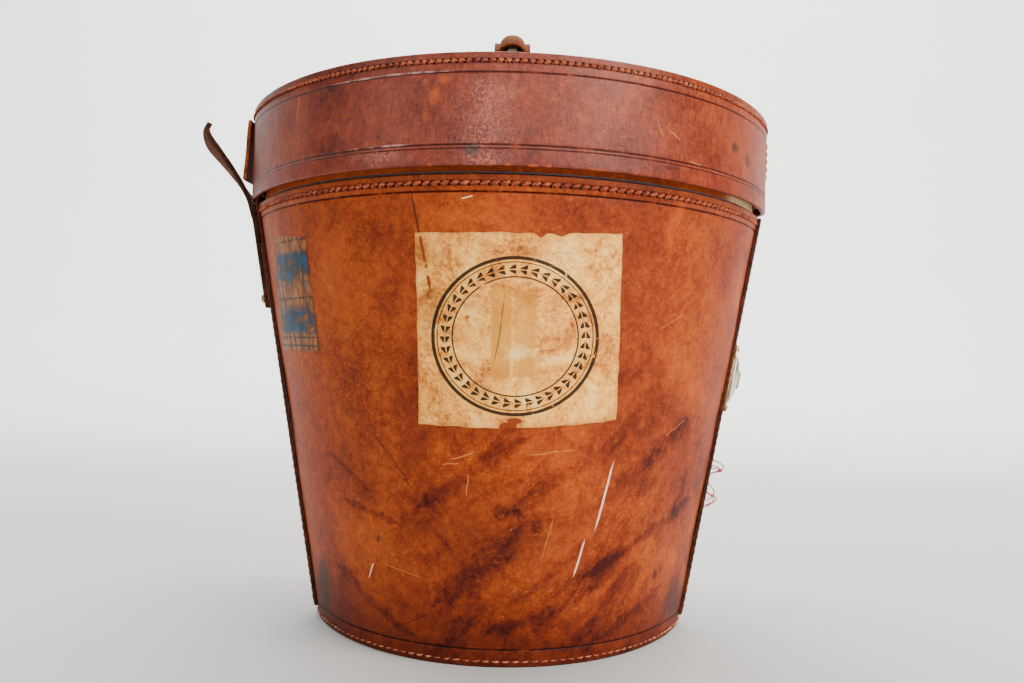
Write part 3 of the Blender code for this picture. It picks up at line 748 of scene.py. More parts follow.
def case_leather():
    """Tan hide with dark diagonal stains low down, veins, white scratches, a darker and more purple foot, and
    painted shade over the low middle.
    """
    darks = [(0.046, 0.006, 0.004), (0.140, 0.019, 0.006), (0.255, 0.039, 0.007)]
    lights = [(0.39, 0.070, 0.007), (0.53, 0.112, 0.008)]
    edge = (0.05, 0.014, 0.006)
    g = leather("body_leather", darks + lights, edge, 0.52, 0.09, toned=case_tone, reach=0.32)
    colour = g.colour
    z = g.parts()[2]
    blots = (
        (0.0962, 0.0465, 2.4 * MM, 4.6 * MM, (0.03, 0.012, 0.010)),
        (-0.0705, 0.0695, 2.2 * MM, 3.4 * MM, (0.05, 0.022, 0.010)),
        (-0.0680, 0.0850, 1.6 * MM, 2.0 * MM, (0.04, 0.010, 0.006)),
        (-0.1120, 0.0260, 9 * MM, 26 * MM, (0.045, 0.030, 0.014)),
        (0.1140, 0.0230, 12 * MM, 18 * MM, (0.085, 0.026, 0.020)),
    )
    for px, pz, wide, tall, tint in blots:
        colour = g.over(colour, g.spot(px, pz, wide, tall, 0.6, 1.0), 0.8, tint)
    ink = (0.05, 0.012, 0.008)
    pale = (0.92, 0.62, 0.42)
    tan = (0.52, 0.17, 0.035)
    scratches = (
        ((0.0655, 0.1215), (0.0548, 0.0775), 0.62 * MM, pale, 1.4 * MM),
        ((0.0500, 0.0755), (0.0434, 0.0520), 0.58 * MM, pale, 1.0 * MM),
        ((-0.0530, 0.2700), (-0.0402, 0.2109), 0.65 * MM, ink, 1.0 * MM),
        ((-0.0770, 0.1370), (-0.0480, 0.0990), 0.34 * MM, ink, 4.0 * MM),
        ((-0.0770, 0.0440), (-0.0735, 0.0550), 0.40 * MM, pale, 3.0 * MM),
        ((-0.0700, 0.0560), (-0.0430, 0.0500), 0.22 * MM, tan, 1.0 * MM),
        ((-0.0280, 0.1195), (-0.0130, 0.1240), 0.40 * MM, tan, 6.0 * MM),
        ((-0.0330, 0.1160), (-0.0220, 0.1180), 0.36 * MM, tan, 6.0 * MM),
        ((0.0140, 0.1230), (0.0440, 0.1270), 0.36 * MM, tan, 4.0 * MM),
        ((-0.0190, 0.0990), (-0.0180, 0.1130), 0.34 * MM, tan, 4.0 * MM),
        ((0.0240, 0.0620), (0.0310, 0.0900), 0.24 * MM, tan, 1.0 * MM),
        ((0.0960, 0.1340), (0.1120, 0.1430), 0.20 * MM, tan, 4.0 * MM),
        ((0.0880, 0.1960), (0.1080, 0.2060), 0.18 * MM, tan, 5.0 * MM),
        ((-0.0640, 0.0160), (-0.0380, 0.0300), 0.28 * MM, ink, 3.0 * MM),
        ((-0.0250, 0.2620), (-0.0180, 0.2640), 0.38 * MM, pale, 1.0 * MM),
    )
    for start, end, width, tint, wander in scratches:
        line = g.stroke(start, end, width, wander, 0.0, (0.30, 0.38))
        colour = g.over(colour, line, 0.85, tint)
    # darker and more purple towards the foot
    foot = g.times(g.ramp(z, 0.055, 0.002), 0.85)
    colour = g.darkened(colour, foot, (0.42, 0.34, 0.55))
    # painted shade: the low middle of the case is darkened and cooled
    low_middle_shade = g.spot(0.000, 0.070, 0.075, 0.060, 1.0, 0.8)
    colour = g.darkened(colour, g.times(low_middle_shade, 0.45), (0.55, 0.62, 1.0))
    # darker bands along the stitch channel and the grooves: burnished hide and painted shade in them
    colour = g.scored(colour, ((RIM_STITCH_Z, 2.4 * MM),), (0.50, 0.36, 0.36))
    colour = g.scored(colour, ((RIM_GROOVE_Z, 0.8 * MM), (BASE_GROOVE_Z, 0.8 * MM)))
    g.set(Base_Color=colour)
    return g.material


def lid_tone(g):
    """The lid is darker along its top edge and below the scored lines, and painted lighter to the right,
    which is painted light on its lit side.
    """
    x, _, z = g.parts()
    # painted light: the tone rises towards +x so the lid's lit right side comes out lighter
    tone = g.add((g.ramp(x, 0.0, 0.13), 0.055), (g.ramp(z, LID_HIGH - 3 * MM, LID_HIGH - 1 * MM), -0.05))
    for px, pz, wide, tall, shift in (
        (0.070, 0.309, 0.045, 0.018, 0.035),
        (0.006, 0.314, 0.020, 0.016, 0.025),
        (-0.105, 0.292, 0.026, 0.012, -0.05),
        (0.095, 0.326, 0.028, 0.007, -0.05),
    ):
        tone = g.add((tone, 1.0), (g.spot(px, pz, wide, tall, 0.95, 1.8), shift))
    return tone


def lid_leather():
    """Red-brown hide with a fine upright brush grain, polished where hands rub it; painted highlight patches
    and glints are mixed into its colour.
    """
    darks = [(0.040, 0.005, 0.003), (0.11, 0.014, 0.006), (0.18, 0.026, 0.009)]
    lights = [(0.25, 0.041, 0.013), (0.33, 0.065, 0.018)]
    edge = (0.30, 0.055, 0.008)
    g = leather("lid_leather", darks + lights, edge, 0.44, 0.40, 1.3, 0.35, brushed=0.6, toned=lid_tone)
    colour = g.colour
    rust = (0.38, 0.062, 0.004)
    blots = (
        (-0.0190, 0.2872, 5.0 * MM, 3.8 * MM, 0.5, (0.030, 0.034, 0.022), 0.75),
        (0.1360, 0.3076, 4.5 * MM, 4.0 * MM, 0.7, (0.030, 0.020, 0.012), 0.75),
        (0.1480, 0.3040, 3.0 * MM, 6.0 * MM, 0.7, (0.030, 0.020, 0.012), 0.7),
        (-0.0395, 0.3175, 4.5 * MM, 7.0 * MM, 0.9, rust, 0.75),
        (-0.0350, 0.3250, 5.0 * MM, 3.5 * MM, 0.9, rust, 0.75),
        (-0.0450, 0.3060, 3.0 * MM, 6.0 * MM, 0.9, rust, 0.55),
        (0.0495, 0.2790, 7.0 * MM, 2.0 * MM, 0.7, rust, 0.6),
        (-0.0713, 0.2957, 1.2 * MM, 1.4 * MM, 0.5, (0.05, 0.012, 0.008), 0.8),
        (-0.0967, 0.3009, 1.4 * MM, 1.4 * MM, 0.5, (0.05, 0.012, 0.008), 0.8),
        (0.0900, 0.2860, 9.0 * MM, 1.6 * MM, 0.7, (0.06, 0.012, 0.008), 0.7),
        (-0.0420, 0.2796, 1.6 * MM, 1.0 * MM, 0.15, rust, 0.95),
        (-0.0089, 0.2803, 1.3 * MM, 1.7 * MM, 0.15, rust, 0.95),
        (0.0002, 0.2796, 1.5 * MM, 0.8 * MM, 0.15, rust, 0.95),
        (0.0133, 0.2795, 2.4 * MM, 0.7 * MM, 0.15, rust, 0.95),
        (0.0218, 0.2796, 1.4 * MM, 0.9 * MM, 0.15, rust, 0.95),
        (-0.0600, 0.2905, 2.6 * MM, 1.8 * MM, 0.4, rust, 0.6),
        (-0.0780, 0.2930, 1.6 * MM, 1.6 * MM, 0.4, rust, 0.5),
    )
    for px, pz, wide, tall, soft, tint, strength in blots:
        colour = g.over(colour, g.spot(px, pz, wide, tall, soft, 2.2), strength, tint)
    for start, end in (
        ((0.086, 0.302), (0.082, 0.310)),
        ((0.088, 0.307), (0.097, 0.302)),
        ((-0.127, 0.312), (-0.124, 0.328)),
        ((0.100, 0.292), (0.125, 0.289)),
    ):
        colour = g.over(colour, g.stroke(start, end, 0.3 * MM, 1 * MM), 0.7, (0.50, 0.18, 0.06))
    x, _, z = g.parts()
    # painted highlight: speckled pinkish sheen patches mixed into the colour near the middle and low on the
    # lid
    highlight_speckle = g.ramp(g.noise(640, 5, 0.8), 0.42, 0.62)
    for px, pz, wide, tall, strength in (
        (-0.0130, 0.3010, 0.026, 0.026, 0.24),
        (-0.0100, 0.3190, 0.020, 0.014, 0.16),
        (-0.0700, 0.2850, 0.022, 0.007, 0.34),
        (-0.0120, 0.2820, 0.020, 0.006, 0.30),
    ):
        painted_highlight = g.times(g.spot(px, pz, wide, tall, 1.0, 1.2), g.times(highlight_speckle, strength))
        colour = g.mix(painted_highlight, colour, (0.84, 0.36, 0.28))
    brim = g.times(g.ramp(z, LID_LOW + 9.5 * MM, LID_LOW + 8.0 * MM), 0.35)
    colour = g.darkened(colour, brim, (0.75, 0.5, 0.6))
    widths = (0.75 * MM, 0.75 * MM, 0.5 * MM)
    lines = list(zip(LID_GROOVES, widths))
    # darker bands along the stitch channel and the grooves: burnished hide and painted shade in them
    colour = g.scored(colour, ((LID_STITCH_Z, 2.3 * MM),), (0.50, 0.36, 0.40))
    colour = g.scored(colour, lines, (0.20, 0.10, 0.16))
    # painted highlights: pale glints along the left part of two scored lines
    for start, end, z in ((-0.104, -0.028, LID_HIGH - 10.2 * MM), (-0.092, -0.052, LID_LOW + 11.8 * MM)):
        glint = g.stroke((start, z), (end, z), 0.50 * MM, 0, 0.0, (0.40, 0.62))
        colour = g.over(colour, glint, 0.55, (0.78, 0.50, 0.46))
    polish = g.add((g.ramp(x, 0.02, 0.12), -0.22), (1.0, 0.32))
    g.set(Base_Color=colour, Specular_IOR_Level=polish)
    return g.material


def thread_material(name, dark, middle, light):
    """Waxed linen thread: twisted strands, with painted shade between them."""
    g = Graph(name)
    strand = g.noise(900, 2, 0.5, place=g.mapped(scale=(1, 1, 1.4)))
    tint = g.ramp(g.noise(70, 4), (0.35, dark), (0.5, middle), (0.65, light))
    # painted shade in the grooves between the strands
    between = g.darkened(tint, 1.0, (0.3, 0.22, 0.25))
    g.set(Base_Color=g.mix(g.ramp(strand, 0.62, 0.36), tint, between), Roughness=0.7)
    g.set(Normal=g.bump(strand, 0.3 * MM, 0.7), Specular_IOR_Level=0.25)
    return g.material


def hole_material():
    g = Graph("needle_hole")
    # the near-black colour is painted shade inside the needle holes
    g.set(Base_Color=g.mix(g.noise(300), (0.007, 0.003, 0.002), (0.025, 0.008, 0.005)), Roughness=0.95)
    g.set(Specular_IOR_Level=0.05)
    return g.material


STAMP_X, STAMP_Z = 6.5 * MM, 189 * MM
STAMP_FLATTENING = 1.067
STAMP_RINGS = ((45.4, 1.0), (43.0, 0.28), (34.6, 0.42))  # radius and half width in mm
WREATH_RADIUS, LEAF_LENGTH, LEAVES = 38.8 * MM, 3.0 * MM, 40


def stamp_ink(g):
    """A worn round stamp: a heavy outer ring, a thin inner one, and between them a wreath of leaves."""
    x, _, z = g.parts()
    dx = g.math("SUBTRACT", x, STAMP_X)
    dz = g.times(g.math("SUBTRACT", z, STAMP_Z), STAMP_FLATTENING)
    reach = g.math("SQRT", g.math("ADD", g.times(dx, dx), g.times(dz, dz)))
    ink = 0.0
    for radius, width in STAMP_RINGS:
        off = g.math("ABSOLUTE", g.math("SUBTRACT", reach, radius * MM))
        ink = g.math("MAXIMUM", ink, g.ramp(off, (width + 0.16) * MM, (width - 0.12) * MM))
    turn = g.math("MULTIPLY_ADD", g.math("ARCTAN2", dz, dx), LEAVES / (2 * math.pi), 100.0)
    lean = g.add((reach, 0.13 / MM), (WREATH_RADIUS, -0.13 / MM))
    cell = g.math("SUBTRACT", g.math("FRACT", g.math("ADD", turn, g.math("ABSOLUTE", lean))), 0.5)
    across = g.times(g.math("ABSOLUTE", cell), 3.0)
    up = g.math("DIVIDE", g.math("ABSOLUTE", g.math("SUBTRACT", reach, WREATH_RADIUS)), LEAF_LENGTH)
    leaf = g.math("ADD", across, g.math("POWER", up, 2.0))
    stem = g.ramp(up, 0.04, 0.14)
    return g.math("MAXIMUM", ink, g.times(g.ramp(leaf, 1.0, 0.93), stem))


def paper_material():
    """Aged label: foxing, dirt, paste marks, lost tape and a worn stamp without any lettering."""
    g = Graph("label_paper")
    grime = g.noise(36, 8, 0.75, distortion=0.7)
    speck = g.noise(420, 5, 0.82)
    tone = g.add((grime, 0.66), (speck, 0.34))
    colour = g.ramp(
        tone,
        (0.37, (0.20, 0.045, 0.006)),
        (0.43, (0.46, 0.145, 0.018)),
        (0.48, (0.76, 0.29, 0.042)),
        (0.54, (0.93, 0.45, 0.080)),
        (0.61, (0.99, 0.62, 0.20)),
    )
    dots = g.times(g.ramp(g.noise(300, 4, 0.7), 0.36, 0.29), 0.75)
    colour = g.mix(dots, colour, (0.24, 0.06, 0.010))
    web = g.ramp(g.cells(150, "DISTANCE_TO_EDGE", g.warped(130, 7 * MM)), 0.05, 0.0)
    web = g.times(web, g.ramp(g.noise(40, 4), 0.48, 0.60))
    colour = g.over(colour, web, 0.5, (0.30, 0.09, 0.012))
    paste = (0.60, 0.235, 0.020)
    for left, right, low, high, strength in (
        (-0.0065, 0.0036, 0.1670, 0.2140, 0.80),
        (0.0058, 0.0170, 0.1675, 0.2130, 0.62),
        (0.0090, 0.0205, 0.1675, 0.1800, 0.50),
    ):
        colour = g.over(colour, g.oblong(left, right, low, high), strength, paste)
    colour = g.over(colour, g.spot(0.0080, 0.1800, 14 * MM, 6 * MM, 1.0, 3.0), 0.7, (0.98, 0.66, 0.22))
    for px, pz, wide, tall, strength in (
        (-0.0400, 0.2340, 14 * MM, 10 * MM, 0.45),
        (-0.0400, 0.2010, 9 * MM, 15 * MM, 0.40),
        (-0.0200, 0.2060, 7 * MM, 7 * MM, 0.45),
        (0.0180, 0.2330, 9 * MM, 5 * MM, 0.35),
        (0.0420, 0.1800, 5 * MM, 16 * MM, 0.35),
        (-0.0140, 0.1600, 9 * MM, 7 * MM, 0.30),
    ):
        colour = g.over(colour, g.spot(px, pz, wide, tall, 1.0, 2.6), strength, (0.36, 0.135, 0.028))
    red = (0.26, 0.035, 0.008)
    pencil = (0.10, 0.045, 0.020)
    for px, pz, wide, tall in ((-0.0201, 0.1993, 1.6 * MM, 1.3 * MM), (0.0374, 0.1966, 1.4 * MM, 1.8 * MM)):
        colour = g.over(colour, g.spot(px, pz, wide, tall, 0.4, 0.8), 0.85, red)
    colour = g.over(colour, g.stroke((0.0000, 0.2150), (-0.0045, 0.1720), 0.5 * MM, 3 * MM), 0.75, pencil)
    edge = g.node("ShaderNodeAttribute")
    edge.attribute_name = "edge"
    colour = g.over(colour, edge.outputs["Fac"], 0.55, (0.42, 0.15, 0.03))
    worn = g.ramp(g.noise(110, 7, 0.78), 0.36, 0.40)
    colour = g.over(colour, g.times(stamp_ink(g), worn), 0.97, (0.008, 0.005, 0.004))
    hide = (0.22, 0.032, 0.004)
    tear = g.stroke((-0.0478, 0.2470), (-0.0402, 0.2105), 1.1 * MM, 1 * MM, 0.3, (0.42, 0.50))
    colour = g.mix(tear, colour, hide)
    for px, pz, wide, tall in ((0.0035, 0.1400, 5.4 * MM, 2.6 * MM), (0.0070, 0.1428, 4.6 * MM, 1.9 * MM)):
        colour = g.mix(g.spot(px, pz, wide, tall, 0.08, 1.1), colour, hide)
    normal = g.bump(g.noise(160, 6, 0.65), 0.35 * MM, 0.35)
    g.set(Base_Color=colour, Roughness=0.8, Normal=normal, Specular_IOR_Level=0.2)
    return g.material


def side_label_material():
    """Remains of a varnished label: brown film with torn blue patches between dark border lines."""
    g = Graph("side_label_remains")
    streak = g.noise(1.0, 6, 0.75, place=g.mapped(scale=(260, 260, 60)))
    browns = (0.38, (0.040, 0.012, 0.003)), (0.50, (0.17, 0.050, 0.008)), (0.62, (0.36, 0.12, 0.019))
    film = g.ramp(streak, *browns)
    z = g.parts()[2]
    tear = g.noise(1.0, 7, 0.72, place=g.mapped(scale=(40, 40, 120)))
    band_high = g.times(g.ramp(z, 0.214, 0.226), g.ramp(z, 0.241, 0.235))
    band_low = g.times(g.ramp(z, 0.187, 0.192), g.ramp(z, 0.208, 0.200))
    band = g.math("MAXIMUM", band_high, band_low)
    dark = g.times(band, g.ramp(tear, 0.41, 0.45))
    film = g.over(film, dark, 0.8, (0.020, 0.017, 0.010))
    blue = g.times(band, g.ramp(tear, 0.485, 0.505))
    shade = g.ramp(g.noise(130, 5, 0.7), (0.40, (0.002, 0.012, 0.028)), (0.60, (0.007, 0.050, 0.105)))
    colour = g.mix(blue, film, shade)
    for level in (0.1815, 0.1865, 0.2105, 0.2455):
        off = g.math("ABSOLUTE", g.math("SUBTRACT", z, level))
        line = g.times(g.ramp(off, 0.9 * MM, 0.4 * MM), g.ramp(g.noise(230, 4, 0.7), 0.38, 0.46))
        colour = g.over(colour, line, 0.85, (0.012, 0.008, 0.007))
    g.set(Base_Color=colour, Roughness=0.55, Specular_IOR_Level=0.25, Normal=g.bump(tear, 0.3 * MM, 0.3))
    return g.material


def satin_material():
    g = Graph("crimson_satin")
    weave = g.math("ADD", g.noise(1.0, 2, 0.5, place=g.mapped(scale=(2600, 420, 2600))), g.noise(90, 4, 0.5))
    reds = (0.35, (0.16, 0.006, 0.012)), (0.6, (0.30, 0.014, 0.022)), (0.75, (0.40, 0.05, 0.04))
    fade = g.ramp(g.noise(18, 5, 0.6), *reds)
    g.set(Base_Color=fade, Roughness=0.38, Normal=g.bump(weave, 0.12 * MM, 0.4))
    g.set(Sheen_Weight=0.6, Sheen_Roughness=0.35, Specular_IOR_Level=0.6, Anisotropic=0.4)
    return g.material


def metal_material(name, bright, dull, silver=None):
    """Worn brass; silver adds the remains of nickel plating on the raised middle."""
    g = Graph(name)
    tarnish = g.noise(170, 6, 0.65)
    colour = g.mix(g.ramp(tarnish, 0.42, 0.62), bright, dull)
    if silver:
        colour = g.mix(g.times(g.ramp(g.noise(120, 5, 0.7), 0.36, 0.48), 0.9), colour, silver)
    scratch = g.noise(1.0, 4, 0.6, place=g.mapped(scale=(300, 300, 2200), rotation=(0.4, 0.2, 0)))
    rough = g.math("ADD", 0.20, g.times(tarnish, 0.28))
    g.set(Base_Color=colour, Metallic=1.0, Roughness=rough, Normal=g.bump(scratch, 0.03 * MM, 0.4))
    return g.material


def board_material():
    g = Graph("pasteboard")
    g.set(Base_Color=g.mix(g.noise(300, 5), (0.20, 0.17, 0.12), (0.34, 0.29, 0.21)), Roughness=0.9)
    g.set(Normal=g.bump(g.noise(900, 4), 0.1 * MM, 0.5))
    return g.material


def cord_material():
    g = Graph("felt_cord")
    twist = g.noise(1.0, 3, 0.6, place=g.mapped(scale=(700, 700, 1600)))
    g.set(Base_Color=g.mix(twist, (0.014, 0.013, 0.015), (0.10, 0.10, 0.12)), Roughness=0.95)
    g.set(Normal=g.bump(twist, 0.2 * MM, 0.8), Specular_IOR_Level=0.1)
    return g.material


def collar_material():
    """Red-brown facing, worn through to pale skin towards the front on the near side."""
    # painted light: the palette is brighter than the hide itself, lifting the collar out of the lid's shade
    palette = [(0.24, 0.032, 0.004), (0.46, 0.072, 0.007), (0.62, 0.13, 0.014)]
    g = leather("collar_leather", palette, (0.55, 0.20, 0.06), 0.55, gloss=0.2)
    worn = g.near_side(g.ramp(g.parts()[0], 0.130, 0.142))
    worn = g.times(worn, g.ramp(g.noise(60, 4, 0.6), 0.28, 0.38))
    g.set(Base_Color=g.mix(worn, g.colour, (1.0, 0.66, 0.34)))
    return g.material


RIM_STITCH_Z = RIM_Z - 4.6 * MM
RIM_GROOVE_Z = RIM_Z - 9.2 * MM
BASE_STITCH_Z = 3.6 * MM
BASE_GROOVE_Z = 10.5 * MM
LID_STITCH_Z = LID_HIGH - 4.8 * MM
LID_GROOVES = (LID_HIGH - 10.8 * MM, LID_LOW + 11.2 * MM, LID_LOW + 9.2 * MM)

BODY_LEATHER = case_leather()
LID_LEATHER = lid_leather()
STRIP_LEATHER = leather(
    "strip_leather", [(0.04, 0.009, 0.004), (0.11, 0.022, 0.007), (0.20, 0.042, 0.011)], (0.010, 0.004, 0.003)
).material
STRAP_LEATHER = leather(
    "strap_leather",
    [(0.030, 0.010, 0.005), (0.085, 0.028, 0.011), (0.17, 0.065, 0.026)],
    (0.022, 0.008, 0.004),
    roughness=0.85,
    gloss=0.08,
    grain=1.6,
).material
HINGE_LEATHER = leather(
    "hinge_leather",
    [(0.06, 0.009, 0.003), (0.14, 0.022, 0.006), (0.22, 0.038, 0.010)],
    (0.02, 0.006, 0.003),
    roughness=0.8,
    gloss=0.08,
).material
KEEPER_LEATHER = leather(
    "keeper_leather",
    [(0.07, 0.011, 0.004), (0.15, 0.024, 0.008), (0.22, 0.038, 0.012)],
    (0.36, 0.085, 0.015),
    roughness=0.8,
    gloss=0.10,
    grain=1.5,
).material
HANDLE_LEATHER = leather(
    "handle_leather",
    [(0.05, 0.012, 0.002), (0.14, 0.038, 0.005), (0.25, 0.080, 0.011)],
    (0.06, 0.015, 0.004),
    roughness=0.75,
    gloss=0.06,
).material
COLLAR_LEATHER = collar_material()
THREAD = thread_material("waxed_thread", (0.22, 0.035, 0.012), (0.38, 0.070, 0.022), (0.50, 0.12, 0.040))
PALE_THREAD = thread_material("pale_thread", (0.32, 0.07, 0.03), (0.55, 0.16, 0.07), (0.72, 0.28, 0.14))
RED_THREAD = thread_material("red_thread", (0.42, 0.02, 0.012), (0.62, 0.035, 0.02), (0.72, 0.06, 0.03))
NEEDLE_HOLE = hole_material()
PAPER = paper_material()
SIDE_PAPER = side_label_material()
SATIN = satin_material()
BRASS = metal_material("aged_brass", (0.66, 0.46, 0.20), (0.30, 0.18, 0.07))
PLATED = metal_material("plated_brass", (0.66, 0.46, 0.20), (0.40, 0.26, 0.11), silver=(0.80, 0.79, 0.77))
STEEL = metal_material("spring_steel", (0.55, 0.55, 0.56), (0.30, 0.30, 0.31))
BOARD = board_material()
CORD = cord_material()


# ---------------------------------------------------------------- case


def case_lift(share, x, y, z):
    """The hide bulges and dips a little, less near the stitched edges, and the rim band stands proud."""
    free = np.clip((z - BASE_Z) / (30 * MM), 0, 1) * np.clip((RIM_Z - z) / (30 * MM), 0, 1)
    band = 0.35 * MM / (1 + np.exp(-(z - RIM_GROOVE_Z - 1 * MM) / (0.4 * MM)))
    channel = -0.35 * MM * np.exp(-(((z - RIM_STITCH_Z) / (1.6 * MM)) ** 2))
    return 0.55 * MM * BODY_DENTS.at(x, y, z) * free + 0.05 * MM * FINE_DENTS.at(x, y, z) + band + channel


def side_panels():
    grooves = ((RIM_GROOVE_Z, 0.45 * MM, 0.55 * MM), (BASE_GROOVE_Z, 0.5 * MM, 0.5 * MM))
    loop = wall_section(BASE_Z, RIM_Z, 0.0, HIDE, grooves, rows=64)
    seam = share_at_angle(0.014)
    for word, start in (("far", FRONT), ("near", REAR)):
        shares = np.linspace(start + seam, start + 0.5 - seam, 200)
        panel = sweep("case_panel_" + word, shares, loop, half_at, lift=case_lift)
        finish_piece(panel, "case", BODY_LEATHER, ("side_panel_" + word,))


def case_stitches():
    """The rim braid stops at the front strip and at the hinge; plain stitches go round the foot."""
    strip = share_at_angle(0.278)
    leaf = float(rear_share(20.5 * MM / RIM_HALF))
    for word, start, end in (("far", strip, leaf), ("near", 1 - leaf, 1 - strip)):
        places = round_places(half_at, RIM_STITCH_Z, 5.5 * MM, 0.0, start, end, case_lift)
        node = "rim_thread_" + word
        name = "rim_stitches_" + word
        stitch_row(name, places, 5.9 * MM, "case", 17, 2.3 * MM, 0.85 * MM, (node,))
    places = round_places(half_at, BASE_STITCH_Z, 5.7 * MM, 0.0, 0.0, 1.0, case_lift)
    size = (1.3 * MM, 0.6 * MM)
    stitch_row("base_stitches", places, 4.6 * MM, "case", 4, *size, ("base_thread",), False, PALE_THREAD)


def seam_strips():
    reach = share_at_angle(0.27)
    for word, centre in (("front", FRONT), ("rear", REAR)):
        node = word + "_seam_strip"
        low, high = corner(node, False).z, corner(node).z - 0.3 * MM
        loop = wall_section(low, high, -(STRIP + GAP), STRIP, rows=40, rounding=0.6 * MM)
        shares = np.linspace(centre - reach, centre + reach, 24)
        strip = sweep(node + "_leather", shares, loop, half_at, edge_width=1.2 * MM)
        finish_piece(strip, "case", STRIP_LEATHER, (node,))
        for side in (-1, 1):
            row = upright_places(
                half_at, low + 3 * MM, high - 3 * MM, 5.2 * MM, -(STRIP + GAP - 0.25 * MM),
                lambda z, s=side: centre + s * (reach - 2.6 * MM / (PLAN["length"] * half_at(z))),
            )
            word_side = "near" if side * (1 if centre == FRONT else -1) < 0 else "far"
            name = "{}_strip_stitches_{}".format(word, word_side)
            stitch_row(name, row, 4.4 * MM, "case", 10, 1.1 * MM, 0.35 * MM, holes=False)


def collar_and_cord():
    low, high = corner("collar", False).z, corner("collar").z
    lean_in = 2.1 * MM

    def collar_half(z):
        leaning = RIM_HALF - lean_in * (z - RIM_Z) / (high - RIM_Z)
        return np.where(z > RIM_Z, leaning, half_at(np.minimum(z, RIM_Z)))

    loop = wall_section(low, high, LINING_INSET, 2.0 * MM, rows=22, rounding=0.8 * MM)
    shares = np.linspace(0, 1, 240, endpoint=False)
    collar = sweep("collar_leather", shares, loop, collar_half, closed=True)
    finish_piece(collar, "case", COLLAR_LEATHER, ("collar",))
    z = RIM_Z + 1.6 * MM
    points = [outline(RIM_HALF, i / 360, z - 0.4 * MM, 2.5 * MM) for i in range(360)]
    cord = curve_tube("rim_cord_felt", points, 0.45 * MM, closed=True, resolution=2)
    finish_piece(cord, "case", CORD, ("rim_cord",))


def case_inside():
    low, high = corner("body_lining", False).z, corner("body_lining").z
    loop = wall_section(low, high, LINING_INSET, 1.2 * MM, rows=16, rounding=0.4 * MM)

    def pleats(share, x, y, z):
        return -0.25 * MM * (1 + np.sin(share * 2 * math.pi * 84 + 2 * np.sin(z * 40)))

    shares = np.linspace(0, 1, 840, endpoint=False)
    lining = sweep("body_lining_satin", shares, loop, half_at, closed=True, lift=pleats)
    finish_piece(lining, "case", SATIN, ("body_lining",))

    z = (corner("hat_rest_ring").z + corner("hat_rest_ring", False).z) / 2
    radius, inset = 5.5 * MM, 11 * MM
    turns = np.linspace(0, 2 * math.pi, 17)[:-1]
    loop = [(z + radius * math.sin(a), inset - radius * math.cos(a)) for a in turns]

    def gathers(share, x, y, height):
        return 0.28 * MM * np.sin(share * 2 * math.pi * 150) * (1 + 0.5 * np.sin(share * 2 * math.pi * 11))

    shares = np.linspace(0, 1, 1050, endpoint=False)
    ring = sweep("hat_rest_ring_satin", shares, loop, half_at, closed=True, lift=gathers)
    finish_piece(ring, "case", SATIN, ("hat_rest_ring",))
    refined("base_disc", STRIP_LEATHER, 0.6 * MM)
    refined("base_board", BOARD, 0.3 * MM)


def labels():
    crumple = Waves(21, 12 * MM, 40 * MM, 12)
    frays = Waves(31, 5 * MM, 16 * MM, 10)
    top_left, top_right = (-49.4 * MM, 244.6 * MM), (64.0 * MM, 247.6 * MM)
    low_left, low_right = (-46.2 * MM, 139.4 * MM), (64.8 * MM, 143.8 * MM)
    tears = ((0.60, 0.02, 2.6 * MM), (0.70, 0.035, 2.0 * MM))

    def main_corners(a, b):
        top = 1 - b
        x_left = top * low_left[0] + b * top_left[0] + 0.22 * MM * frays.at(0.0, 1.0, b * 0.1)
        x_right = top * low_right[0] + b * top_right[0] + 0.22 * MM * frays.at(1.0, 0.0, b * 0.1)
        z_low = low_left[1] + (low_right[1] - low_left[1]) * a - 2.6 * MM * math.sin(math.pi * a)
        z_high = top_left[1] + (top_right[1] - top_left[1]) * a - 1.2 * MM * math.sin(math.pi * a)
        z_low += 0.2 * MM * frays.at(a * 0.1, 2.0, 0.0)
        z_high += 0.2 * MM * frays.at(a * 0.1, 0.0, 2.0)
        z_high -= sum(depth * math.exp(-(((a - at) / wide) ** 2)) for at, wide, depth in tears)
        return x_left + (x_right - x_left) * a, z_low + (z_high - z_low) * b

    def lifted(x, z):
        return 0.14 * MM * (1 + crumple.at(x, 0.0, z)) / 2

    def over_panel(x, z):
        share = near_share(x / half_at(z))
        ux, uy, _, _ = on_plan(share)
        return float(case_lift(share, half_at(z) * ux, half_at(z) * uy, z))

    def over_panel_crumpled(x, z):
        return lifted(x, z) + over_panel(x, z)

    paper = patch("paper_label_sheet", main_corners, (96, 90), -0.42 * MM, 0.25 * MM, over_panel_crumpled)
    finish_piece(paper, "case", PAPER, ("paper_label",))

    def side_corners(a, b):
        x_left = -145.4 * MM - 2.0 * MM * b + 0.3 * MM * frays.at(0, 3, b * 0.1)
        x_right = -110.6 * MM - 9.6 * MM * b + 0.4 * MM * frays.at(3, 0, b * 0.1)
        z_low, z_high = 178.2 * MM + 0.3 * MM * frays.at(a * 0.1, 0, 5), 250.5 * MM - 4.6 * MM * a
        return x_left + (x_right - x_left) * a, z_low + (z_high - z_low) * b

    side = patch("side_label_sheet", side_corners, (40, 60), -0.30 * MM, 0.2 * MM, over_panel)
    finish_piece(side, "case", SIDE_PAPER, ("side_label",))


